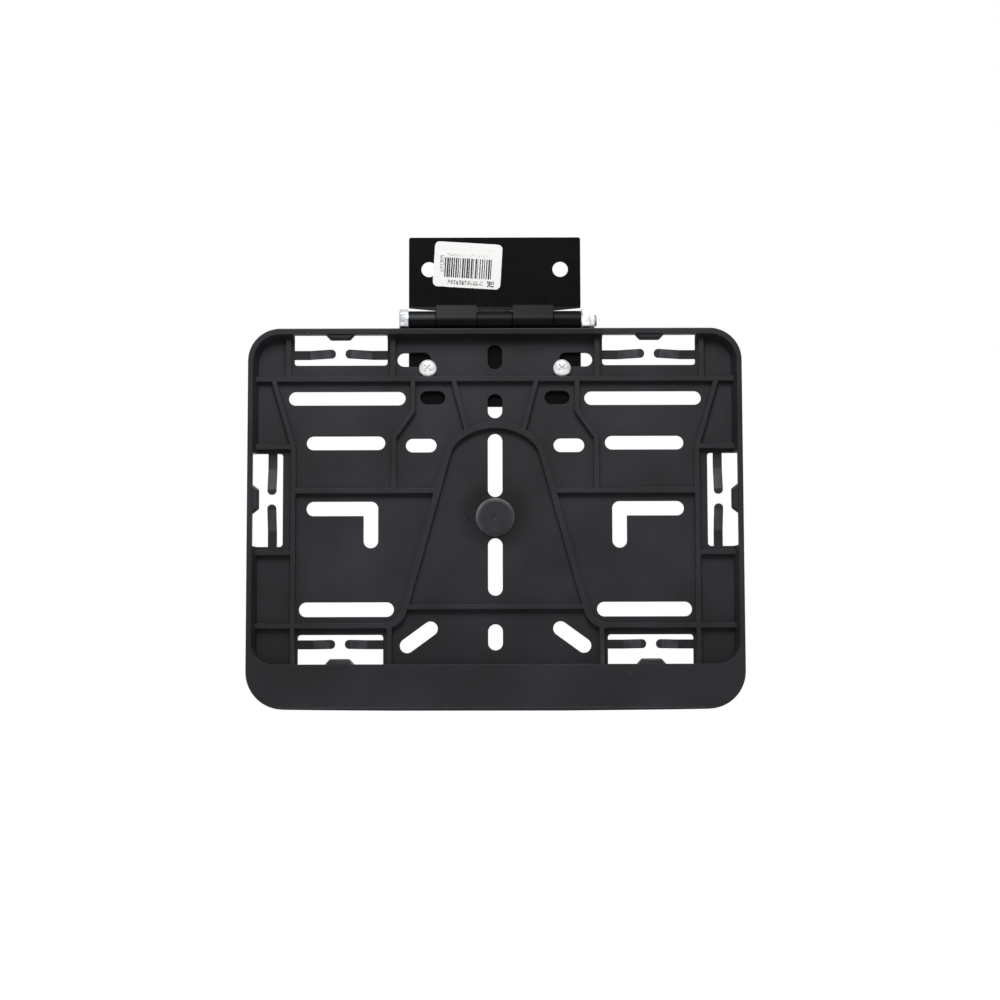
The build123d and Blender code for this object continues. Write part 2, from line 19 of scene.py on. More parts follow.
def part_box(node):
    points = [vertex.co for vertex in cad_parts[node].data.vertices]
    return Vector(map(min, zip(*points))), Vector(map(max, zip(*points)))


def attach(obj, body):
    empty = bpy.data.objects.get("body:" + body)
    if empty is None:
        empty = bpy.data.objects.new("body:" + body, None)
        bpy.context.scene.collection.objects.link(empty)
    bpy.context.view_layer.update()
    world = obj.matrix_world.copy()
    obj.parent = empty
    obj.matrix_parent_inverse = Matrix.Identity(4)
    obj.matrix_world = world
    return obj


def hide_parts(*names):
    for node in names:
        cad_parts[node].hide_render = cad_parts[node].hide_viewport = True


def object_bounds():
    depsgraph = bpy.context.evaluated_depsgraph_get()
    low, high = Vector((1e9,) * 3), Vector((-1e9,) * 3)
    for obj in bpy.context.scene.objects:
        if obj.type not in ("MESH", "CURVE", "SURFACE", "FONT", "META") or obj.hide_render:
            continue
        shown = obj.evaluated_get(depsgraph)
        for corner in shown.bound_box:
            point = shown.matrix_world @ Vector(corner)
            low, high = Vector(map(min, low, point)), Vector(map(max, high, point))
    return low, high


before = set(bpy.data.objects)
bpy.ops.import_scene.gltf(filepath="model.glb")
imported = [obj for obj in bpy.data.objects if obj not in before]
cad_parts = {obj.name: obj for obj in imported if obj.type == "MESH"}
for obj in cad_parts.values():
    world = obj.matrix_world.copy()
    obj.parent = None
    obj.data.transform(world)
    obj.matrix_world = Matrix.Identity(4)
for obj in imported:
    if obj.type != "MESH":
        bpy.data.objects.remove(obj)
cad_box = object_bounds()

log = logging.getLogger("plate_holder")
Pair = tuple[float, float]
Triple = tuple[float, float, float]
MM = 0.001
WHITE = "#ffffff"
# Inputs of a Mix node that blends two colours
FACTOR, FIRST, SECOND = 0, 6, 7
# Values between which most of a noise lies
NOISE_MIDDLE = {"From Min": 0.3, "From Max": 0.7}
# Points of a solid's mesh, and of a new mesh, that are nearer than this in metres are one
SAME_CORNER, SAME_POINT = 2e-6, 1e-7
# Faces at less than the first angle in radians are one, and a turned edge above the second is sharp
FLAT_ANGLE, SHARP_ANGLE = 0.01, radians(38)
# Room for rounding in a turned section
HAIR_MM = 1e-6


class Carrier(Enum):
    """Body that a piece moves with."""

    BRACKET = "bracket"
    HOLDER = "holder"


class Slot(Enum):
    """Material slot of the record, which a softened piece names."""

    PLASTIC = "frame_plastic"
    LEAF = "leaf_steel"
    ZINC = "zinc_fastener"
    NYLON = "nylon_ring"


class Along(Enum):
    """Run of a turned piece: its axis, then the directions to a flat and to the side of that flat."""

    HINGE = ((1, 0, 0), (0, 1, 0), (0, 0, 1))
    DEPTH = ((0, 1, 0), (0, 0, 1), (1, 0, 0))


class Ray(Enum):
    """Kinds of ray that Light Path tells apart, with the names of its outputs."""

    CAMERA = "Is Camera Ray"
    GLOSSY = "Is Glossy Ray"
    TRANSMISSION = "Is Transmission Ray"


def linear(hex_colour: str) -> tuple[float, float, float, float]:
    """Turns an sRGB hex colour into linear values.

    Args:
        hex_colour: Colour as "#rrggbb".

    Returns:
        Red, green, blue and an alpha of 1.
    """
    srgb = np.array([int(hex_colour[i:i + 2], 16) for i in (1, 3, 5)]) / 255
    rgb = np.where(srgb <= 0.04045, srgb / 12.92, ((srgb + 0.055) / 1.055) ** 2.4)
    return (*map(float, rgb), 1.0)


def per_metre(size_mm: float) -> float:
    """Returns the texture scale at which one cell of a pattern is that many millimetres."""
    return 1 / (size_mm * MM)


def add_node(tree: Any, kind: str, settings: dict | None = None, links: dict | None = None) -> Any:
    """Adds a shader node with its settings and its incoming links.

    Args:
        tree: Node tree that takes the node.
        kind: Node type after "ShaderNode", such as "TexNoise".
        settings: Values by attribute name, input name or input number.
        links: Sockets by input name or input number; a node stands for its first output in use.

    Returns:
        The new node.
    """
    node = tree.nodes.new(f"ShaderNode{kind}")
    for key, value in (settings or {}).items():
        if isinstance(key, str) and hasattr(node, key):
            setattr(node, key, value)
        else:
            node.inputs[key].default_value = value
    for key, source in (links or {}).items():
        if isinstance(source, bpy.types.Node):
            source = next(socket for socket in source.outputs if socket.enabled)
        tree.links.new(source, node.inputs[key])
    return node


@dataclass(frozen=True)
class Cloud:
    """Soft clouds: a noise whose middle is stretched from one value to another.

    Attributes:
        size_mm: Size of the clouds.
        ends: Values at the noise's low and high side.
        detail: Octaves of finer noise.
    """

    size_mm: float
    ends: Pair = (0.0, 1.0)
    detail: float = 2.0

    def add(self, tree: Any, place: Any) -> Any:
        """Adds the clouds.

        Args:
            tree: Node tree of the material.
            place: Socket with the Object coordinates.

        Returns:
            Node with their value.
        """
        settings = {"Scale": per_metre(self.size_mm), "Detail": self.detail}
        noise = add_node(tree, "TexNoise", settings, {"Vector": place})
        settings = {**NOISE_MIDDLE, "To Min": self.ends[0], "To Max": self.ends[1]}
        return add_node(tree, "MapRange", settings, {"Value": noise})


@dataclass(frozen=True)
class TwoTone:
    """Clouds of a pale colour in a deep one."""

    deep: str
    pale: str
    cloud: Cloud

    def add(self, tree: Any, place: Any) -> Any:
        """Returns a new node with the colour, on the same terms as the clouds."""
        settings = {"data_type": "RGBA", FIRST: linear(self.deep), SECOND: linear(self.pale)}
        return add_node(tree, "Mix", settings, {FACTOR: self.cloud.add(tree, place)})


@dataclass(frozen=True)
class Relief:
    """Fine unevenness: a noise that bends the surface's normal.

    Attributes:
        size_mm: Size of the unevenness.
        depth_mm: Depth of the unevenness.
        strength: Share of it that shows.
        detail: Octaves of finer noise.
    """

    size_mm: float
    depth_mm: float
    strength: float
    detail: float

    def add(self, tree: Any, place: Any) -> Any:
        """Adds the unevenness.

        Args:
            tree: Node tree of the material.
            place: Socket with the Object coordinates.

        Returns:
            Node with the normal.
        """
        settings = {"Scale": per_metre(self.size_mm), "Detail": self.detail}
        noise = add_node(tree, "TexNoise", settings, {"Vector": place})
        settings = {"Strength": self.strength, "Distance": self.depth_mm * MM}
        return add_node(tree, "Bump", settings, {"Height": noise})


@dataclass(frozen=True)
class Finish:
    """A surface finish that makes one node material.

    Attributes:
        name: Name of the material, after what the real one is.
    """

    name: str

    def material(self) -> bpy.types.Material:
        """Returns the finish as a material with its shader wired up."""
        made = bpy.data.materials.new(self.name)
        made.use_nodes = True
        tree = made.node_tree
        tree.nodes.clear()
        shader = add_node(tree, "BsdfPrincipled", *self.wire(tree))
        add_node(tree, "OutputMaterial", links={"Surface": shader})
        return made

    def wire(self, tree: Any) -> tuple[dict, dict]:
        """Adds the patterns of the finish.

        Args:
            tree: Node tree of the material.

        Returns:
            Settings and links of the shader.
        """
        raise NotImplementedError


@dataclass(frozen=True)
class MouldedPolypropylene(Finish):
    """Black polypropylene from a spark-eroded mould: satin, with faint flow marks and a little dust.

    Attributes:
        ground: Flow of the melt, which leaves wide clouds that are a shade lighter.
        stain_and_shade_colour: Dark colour of the blush that heat leaves around the gate, and of the painted
            shade at the recess's foot and under the hinge.
        burnish_and_highlight_grey: Pale grey of painted highlights on the tongues' slopes and the disc's
            flank, and of the disc's polished face.
        gloss: Level of the reflection.
        sheen: Roughness.
        patch: Patchy strength of that pale grey.
        blotch: Strength of the blush around the gate.
        grain: Grain of the mould; finer than a pixel, so drawn as coarse as it needs to show.
        highlight_and_wear: Name of the attribute that holds how far a face takes that pale grey.
        clean: Share of that pale grey from which a face has no blush.
        dust_cell_mm: Distance between two grains of dust.
        dust_core: Share of a grain's radius within which it is full.
        dust_cover: How far a full grain hides the plastic.
        gate: Place of the gate across and up in millimetres, where the melt came in.
        blush_mm: Radii at which the dark blush around the gate ends and is full.
        back_mm: Depths at which the blush ends and is full, so that the back has none.
        recess_shade_mm: Levels at which the painted shade at the foot of the recess ends and is full.
        recess_mm: Depths at which that painted shade ends and is full, so that only the recess has it.
        hinge_shade_mm: Distances to the side at which the painted shadow of the hinge on the rim ends and is
            full.
        hinge_shade_level_mm: Levels at which that painted shadow ends and is full.
    """

    ground: TwoTone = TwoTone("#212123", "#303036", Cloud(38.0, detail=3.0))
    stain_and_shade_colour: str = "#09090a"
    burnish_and_highlight_grey: str = "#75757b"
    dust: str = "#8e8e92"
    ior: float = 1.49
    gloss: float = 0.2
    sheen: Cloud = Cloud(5.0, (0.5, 0.62))
    patch: Cloud = Cloud(5.0, (0.35, 1.0), 1.0)
    blotch: Cloud = Cloud(9.5, (0.55, 1.0), 1.0)
    grain: Relief = Relief(0.9, 0.012, 0.6, 1.0)
    highlight_and_wear: str = "burnish_and_highlight"
    clean: float = 0.01
    dust_cell_mm: float = 11.0
    dust_radius_mm: float = 0.28
    dust_core: float = 0.4
    dust_cover: float = 0.55
    gate: Pair = (0.0, -111.2)
    blush_mm: Pair = (20.0, 9.5)
    back_mm: Pair = (-2.2, -2.8)
    recess_shade: float = 0.3
    recess_shade_mm: Pair = (-142.0, -168.0)
    recess_mm: Pair = (-6.0, -5.0)
    hinge_shade: float = 0.72
    hinge_shade_mm: Pair = (52.0, 42.0)
    hinge_shade_level_mm: Pair = (-33.5, -31.5)

    def wire(self, tree: Any) -> tuple[dict, dict]:
        """Makes a dark satin plastic whose grain breaks up the highlights."""
        place = add_node(tree, "TexCoord").outputs["Object"]
        highlit_or_worn = add_node(tree, "Attribute", {"attribute_name": self.highlight_and_wear}).outputs["Fac"]
        # Painted highlights on the tongues' slopes and the gate disc's flank, and the polish on the disc's
        # face, take the pale grey in patches
        patch = self.patch.add(tree, place)
        burnish_and_highlight = add_node(tree, "Math", {"operation": "MULTIPLY"}, {0: highlit_or_worn, 1: patch})
        # Single grains of dust lie where a cell's point meets the surface
        cells = add_node(tree, "TexVoronoi", {"Scale": per_metre(self.dust_cell_mm)}, {"Vector": place})
        reach = self.dust_radius_mm / self.dust_cell_mm
        settings = {"From Min": reach, "From Max": self.dust_core * reach, "To Max": self.dust_cover}
        speck = add_node(tree, "MapRange", settings, {"Value": cells})
        # The dark colour is the gate's blush, and also painted shade at the recess's foot and painted shadow
        # under the hinge
        stain_and_shade = self.stains_and_shade(tree, place, highlit_or_worn)
        body = self.ground.add(tree, place)
        for colour, share in ((self.stain_and_shade_colour, stain_and_shade), (self.burnish_and_highlight_grey, burnish_and_highlight), (self.dust, speck)):
            settings = {"data_type": "RGBA", SECOND: linear(colour)}
            body = add_node(tree, "Mix", settings, {FACTOR: share, FIRST: body})
        links = {"Base Color": body, "Roughness": self.sheen.add(tree, place)}
        links["Normal"] = self.grain.add(tree, place)
        return {"IOR": self.ior, "Specular IOR Level": self.gloss}, links

    def stains_and_shade(self, tree: Any, place: Any, highlit_or_worn: Any) -> Any:
        """Adds the blush around the gate, a painted shade at the recess's foot and a painted shadow of the
        hinge on the rim.

        Each is its strength times two smooth rises from 0 to 1, and the strongest of the three shows.

        Args:
            tree: Node tree of the material.
            place: Socket with the Object coordinates.
            highlit_or_worn: Socket with the share of that pale grey, which keeps the gate's own disc clean.

        Returns:
            Node with the strength of the blush and the painted shade.
        """
        flat = add_node(tree, "VectorMath", {"operation": "MULTIPLY", 1: (1.0, 0.0, 1.0)}, {0: place})
        gate = (self.gate[0] * MM, 0.0, self.gate[1] * MM)
        away = add_node(tree, "VectorMath", {"operation": "DISTANCE", 1: gate}, {0: flat})
        split = add_node(tree, "SeparateXYZ", links={"Vector": place}).outputs
        aside = add_node(tree, "Math", {"operation": "ABSOLUTE"}, {0: split["X"]})
        clean = add_node(tree, "Math", {"operation": "LESS_THAN", 1: self.clean}, {0: highlit_or_worn})
        blotch = self.blotch.add(tree, place)
        strongest: dict[int, Any] = {}
        for strength, factors, rises in (
            (1.0, [blotch, clean], ((away, self.blush_mm), (split["Y"], self.back_mm))),
            # Painted shade at the foot of the recess, darker towards the lip
            (self.recess_shade, [], ((split["Z"], self.recess_shade_mm), (split["Y"], self.recess_mm))),
            # Painted shadow of the hinge on the rim just below it
            (self.hinge_shade, [], ((aside, self.hinge_shade_mm), (split["Z"], self.hinge_shade_level_mm))),
        ):
            for length, (none, full) in rises:
                settings = {"interpolation_type": "SMOOTHSTEP", "From Min": none * MM, "From Max": full * MM}
                factors.append(add_node(tree, "MapRange", settings, {"Value": length}))
            stain_and_shade = add_node(tree, "Math", {"operation": "MULTIPLY", 0: strength}, {1: factors[0]})
            for factor in factors[1:]:
                stain_and_shade = add_node(tree, "Math", {"operation": "MULTIPLY"}, {0: stain_and_shade, 1: factor})
            larger = add_node(tree, "Math", {"operation": "MAXIMUM", 0: 0.0}, {**strongest, 1: stain_and_shade})
            strongest = {0: larger}
        return strongest[0]


@dataclass(frozen=True)
class PowderCoatedSteel(Finish):
    """Sheet steel with a baked satin black powder coat: smooth, with a shallow orange peel.

    Attributes:
        ground: Coat, with faint clouds.
        painted_highlight: Grey of the painted highlight on the knuckles.
        gloss: Level of the reflection.
        sheen: Roughness.
        peel: Orange peel.
        painted_highlight_mm: Levels at which the painted highlight band starts, is full, starts to fade and
            ends.
        across_mm: Places across between which the painted highlight falls off.
        right_share: Painted highlight at the second of them, as a share of the first.
    """

    ground: TwoTone = TwoTone("#101011", "#141415", Cloud(14.0, detail=3.0))
    painted_highlight: str = "#383839"
    ior: float = 1.5
    gloss: float = 0.03
    sheen: Cloud = Cloud(14 / 3, (0.28, 0.36))
    peel: Relief = Relief(1.4, 0.01, 0.5, 0.0)
    painted_highlight_mm: tuple[float, float, float, float] = (-25.0, -22.0, -17.6, -17.0)
    across_mm: Pair = (-38.6, 38.6)
    right_share: float = 0.4

    def wire(self, tree: Any) -> tuple[dict, dict]:
        """Makes a near-black coat with soft, slightly broken highlights and a painted highlight band on the
        knuckles.
        """
        place = add_node(tree, "TexCoord").outputs["Object"]
        # Painted highlight: a grey band on the upper side of the knuckles at the height of the lamp's
        # reflection, brighter at the left
        split = add_node(tree, "SeparateXYZ", links={"Vector": place}).outputs
        left, right = (end * MM for end in self.across_mm)
        settings = {"From Min": left, "From Max": right, "To Min": 1.0, "To Max": self.right_share}
        highlight_share = add_node(tree, "MapRange", settings, {"Value": split["X"]})
        for none, full in (self.painted_highlight_mm[:2], self.painted_highlight_mm[:1:-1]):
            settings = {"From Min": none * MM, "From Max": full * MM}
            fade = add_node(tree, "MapRange", settings, {"Value": split["Z"]})
            highlight_share = add_node(tree, "Math", {"operation": "MULTIPLY"}, {0: highlight_share, 1: fade})
        settings = {"data_type": "RGBA", SECOND: linear(self.painted_highlight)}
        coat = add_node(tree, "Mix", settings, {FACTOR: highlight_share, FIRST: self.ground.add(tree, place)})
        links = {"Base Color": coat, "Roughness": self.sheen.add(tree, place)}
        links["Normal"] = self.peel.add(tree, place)
        return {"IOR": self.ior, "Specular IOR Level": self.gloss}, links


@dataclass(frozen=True)
class BrightZinc(Finish):
    """Bright zinc plating on steel: pale silver with a trace of blue and cloudy gloss.

    Attributes:
        ground: Plating, with clouds.
        metal: Metallic share; the rest of the light scatters, and a low share on a pale ground makes a
            whitened copy that stands in for light.
        shank_shade: Dark colour painted on the shank as shade inside the knuckles.
        shank_shade_half_mm: Distance to each side of the middle up to which that painted shade lies on it.
        sheen: Roughness.
        pits: Fine pits of the plating.
    """

    ground: TwoTone
    metal: float
    shank_shade: str = "#0a0908"
    shank_shade_half_mm: float = 0.0
    sheen: Cloud = Cloud(1.8, (0.32, 0.5))
    pits: Relief = Relief(0.35, 0.006, 0.4, 1.0)

    def wire(self, tree: Any) -> tuple[dict, dict]:
        """Makes a plated metal whose gloss changes from place to place, with painted shade on the shank
        inside the hinge.
        """
        place = add_node(tree, "TexCoord").outputs["Object"]
        plate = self.ground.add(tree, place)
        if self.shank_shade_half_mm:
            # Painted shade darkens the shank between the hinge's two ends, inside the knuckles
            across = add_node(tree, "SeparateXYZ", links={"Vector": place}).outputs["X"]
            away = add_node(tree, "Math", {"operation": "ABSOLUTE"}, {0: across})
            settings = {"operation": "LESS_THAN", 1: self.shank_shade_half_mm * MM}
            shank_shaded = add_node(tree, "Math", settings, {0: away})
            settings = {"data_type": "RGBA", SECOND: linear(self.shank_shade)}
            plate = add_node(tree, "Mix", settings, {FACTOR: shank_shaded, FIRST: plate})
        links = {"Base Color": plate, "Roughness": self.sheen.add(tree, place)}
        links["Normal"] = self.pits.add(tree, place)
        return {"Metallic": self.metal}, links


@dataclass(frozen=True)
class NaturalNylon(Finish):
    """Unfilled nylon, moulded: milky white, waxy and slightly see-through at its edges.

    Attributes:
        ground: Nylon, with clouds.
        milk: Share of the light that goes under the skin.
        milk_mm: How far it goes.
    """

    ground: TwoTone = TwoTone("#dcd8ca", "#ece9df", Cloud(1.5))
    ior: float = 1.53
    rough: float = 0.42
    milk: float = 0.2
    milk_mm: float = 0.5

    def wire(self, tree: Any) -> tuple[dict, dict]:
        """Makes a milky plastic with a little light under its skin."""
        place = add_node(tree, "TexCoord").outputs["Object"]
        settings = {"IOR": self.ior, "Roughness": self.rough}
        settings |= {"Subsurface Weight": self.milk, "Subsurface Scale": self.milk_mm * MM}
        return settings, {"Base Color": self.ground.add(tree, place)}


@dataclass(frozen=True)
class PrintField:
    """A part of the label that takes print, with its sides as shares of the label's width and height.

    Attributes:
        wide: Start and end across.
        high: Start and end upwards.
        columns: Cells over the label's whole width.
        rows: Cells over the label's whole height.
        bare: Share of the cells that stay white.
        ink: Strength of the ink.
        gap: Columns from one blank column to the next, or 0 for none.
    """

    wide: Pair
    high: Pair
    columns: float = 1.0
    rows: float = 1.0
    bare: float = 0.0
    ink: float = 1.0
    gap: int = 0


@dataclass(frozen=True)
class PrintedLabelPaper(Finish):
    """Coated white label paper with thermal print: bars and rows of plain marks, no letters.

    Attributes:
        gloss: Level of the reflection.
        bars: Bars over the label's whole width.
        bar_share: Least and greatest share of its step that a bar fills.
        bar_field: Field of the bars.
        mark_fields: Fields of the marks.
    """

    paper: str = "#f6f6f4"
    ink: str = "#2d2730"
    ior: float = 1.45
    rough: float = 0.55
    gloss: float = 0.3
    bars: float = 31.0
    bar_share: Pair = (0.3, 0.85)
    bar_field: PrintField = PrintField((0.16, 0.865), (0.215, 0.655))
    mark_fields: tuple[PrintField, ...] = (
        PrintField((0.21, 0.74), (0.062, 0.158), 96, 41.6, 0.36, 0.85, 4),
        PrintField((0.80, 0.905), (0.045, 0.17), 115, 78, 0.34),
        PrintField((0.09, 0.15), (0.33, 0.70), 50, 57, 0.42, 0.6),
        PrintField((0.17, 0.80), (0.68, 0.745), 84, 36.4, 0.6, 0.45, 3),
        PrintField((0.12, 0.95), (0.83, 0.85), 40, 50, 0.7, 0.16),
    )

    def wire(self, tree: Any) -> tuple[dict, dict]:
        """Makes matt paper with the print drawn on the label's own UV map."""
        sheet = add_node(tree, "TexCoord").outputs["UV"]
        across = add_node(tree, "SeparateXYZ", links={"Vector": sheet}).outputs["X"]
        # Each bar fills a random share of its own equal step
        step = add_node(tree, "Math", {"operation": "MULTIPLY", 1: self.bars}, {0: across})
        count = add_node(tree, "Math", {"operation": "FLOOR"}, {0: step})
        chance = add_node(tree, "TexWhiteNoise", {"noise_dimensions": "1D"}, {"W": count})
        settings = {"To Min": self.bar_share[0], "To Max": self.bar_share[1]}
        width = add_node(tree, "MapRange", settings, {"Value": chance})
        along = add_node(tree, "Math", {"operation": "FRACT"}, {0: step})
        bars = add_node(tree, "Math", {"operation": "LESS_THAN"}, {0: along, 1: width})
        inked = self.printed(tree, sheet, self.bar_field, bars)
        for seed, field in enumerate(self.mark_fields):
            marks = self.printed(tree, sheet, field, self.marks(tree, sheet, field, float(seed)))
            inked = add_node(tree, "Math", {"operation": "MAXIMUM"}, {0: inked, 1: marks})
        settings = {"data_type": "RGBA", FIRST: linear(self.paper), SECOND: linear(self.ink)}
        face = add_node(tree, "Mix", settings, {FACTOR: inked})
        settings = {"IOR": self.ior, "Roughness": self.rough, "Specular IOR Level": self.gloss}
        return settings, {"Base Color": face}

    @staticmethod
    def marks(tree: Any, sheet: Any, field: PrintField, seed: float) -> Any:
        """Adds small cells that are inked at random, so that a row looks like print from afar.

        Args:
            tree: Node tree of the material.
            sheet: Socket that runs from 0 to 1 over the label's width and height.
            field: Field that takes the marks.
            seed: Number that sets the order of the cells.

        Returns:
            Node that is 1 in an inked cell.
        """
        grid = {1: (field.columns, field.rows, 0.0), 2: (0.0, 0.0, seed)}
        cell = add_node(tree, "VectorMath", {"operation": "MULTIPLY_ADD", **grid}, {0: sheet})
        cell = add_node(tree, "VectorMath", {"operation": "FLOOR"}, {0: cell})
        chance = add_node(tree, "TexWhiteNoise", links={"Vector": cell})
        inked = add_node(tree, "Math", {"operation": "GREATER_THAN", 1: field.bare}, {0: chance})
        if field.gap:
            column = add_node(tree, "SeparateXYZ", links={"Vector": cell}).outputs["X"]
            after = add_node(tree, "Math", {"operation": "MODULO", 1: field.gap}, {0: column})
            apart = add_node(tree, "Math", {"operation": "GREATER_THAN", 1: 0.5}, {0: after})
            inked = add_node(tree, "Math", {"operation": "MULTIPLY"}, {0: inked, 1: apart})
        return inked

    @staticmethod
    def printed(tree: Any, sheet: Any, field: PrintField, inked: Any) -> Any:
        """Keeps print inside its field and sets the strength of its ink.

        Args:
            tree: Node tree of the material.
            sheet: Socket that runs from 0 to 1 over the label's width and height.
            field: Field of the print.
            inked: Node that is 1 where the print has ink.

        Returns:
            Node with the strength of the ink.
        """
        split = add_node(tree, "SeparateXYZ", links={"Vector": sheet}).outputs
        ink = add_node(tree, "Math", {"operation": "MULTIPLY", 1: field.ink}, {0: inked})
        for side, (start, end) in (("X", field.wide), ("Y", field.high)):
            settings = {"operation": "COMPARE", 1: (start + end) / 2, 2: (end - start) / 2}
            inside = add_node(tree, "Math", settings, {0: split[side]})
            ink = add_node(tree, "Math", {"operation": "MULTIPLY"}, {0: ink, 1: inside})
        return ink


def new_piece(name: str, mesh: bpy.types.Mesh, material: bpy.types.Material) -> bpy.types.Object:
    """Makes an object at the origin from a finished mesh.

    Args:
        name: Name of the piece.
        mesh: Mesh whose place is in its points.
        material: Material of the whole piece.

    Returns:
        The linked object.
    """
    mesh.materials.clear()
    mesh.materials.append(material)
    piece = bpy.data.objects.new(name, mesh)
    bpy.context.scene.collection.objects.link(piece)
    return piece


def values(items: Any, name: str, width: int = 1, kind: type = float) -> np.ndarray:
    """Reads one value of every item of a mesh as an array.

    Args:
        items: Points, edges, corners or faces of a mesh.
        name: Name of the value.
        width: Numbers per item.
        kind: Type of the numbers.

    Returns:
        Array with one row per item.
    """
    flat = np.empty(len(items) * width, kind)
    items.foreach_get(name, flat)
    return flat.reshape(-1, width) if width > 1 else flat


def grid_mesh(name: str, points: np.ndarray, wrap_rows: bool = False) -> bpy.types.Mesh:
    """Closes a grid of points into a mesh that wraps around its columns.

    A grid that doesn't wrap its rows gets a pole at the middle of its first and last row.

    Args:
        name: Name of the mesh.
        points: Array of rows, columns and three coordinates.
        wrap_rows: True where the last row joins the first, as on a ring.

    Returns:
        The mesh, with smooth faces.
    """
    rows, columns = points.shape[:2]
    row = np.arange(rows if wrap_rows else rows - 1)[:, None]
    column = np.arange(columns)[None, :]
    below, above = row * columns, (row + 1) % rows * columns
    beside = (column + 1) % columns
    quads = np.stack([below + column, below + beside, above + beside, above + column], -1)
    vertices = points.reshape(-1, 3)
    faces = quads.reshape(-1, 4).tolist()
    if not wrap_rows:
        poles = np.stack([points[0].mean(0), points[-1].mean(0)])
        vertices = np.concatenate([vertices, poles])
        first, last = rows * columns, (rows - 1) * columns
        ring = np.arange(columns)
        after = (ring + 1) % columns
        faces += np.stack([after, ring, np.full(columns, first)], -1).tolist()
        faces += np.stack([last + ring, last + after, np.full(columns, first + 1)], -1).tolist()
    mesh = bpy.data.meshes.new(name)
    mesh.from_pydata(vertices.tolist(), [], faces)
    tidy = bmesh.new()
    tidy.from_mesh(mesh)
    bmesh.ops.remove_doubles(tidy, verts=tidy.verts, dist=SAME_POINT)
    bmesh.ops.recalc_face_normals(tidy, faces=tidy.faces)
    tidy.to_mesh(mesh)
    tidy.free()
    mesh.polygons.foreach_set("use_smooth", np.ones(len(mesh.polygons), bool))
    mesh.set_sharp_from_angle(angle=SHARP_ANGLE)
    return mesh


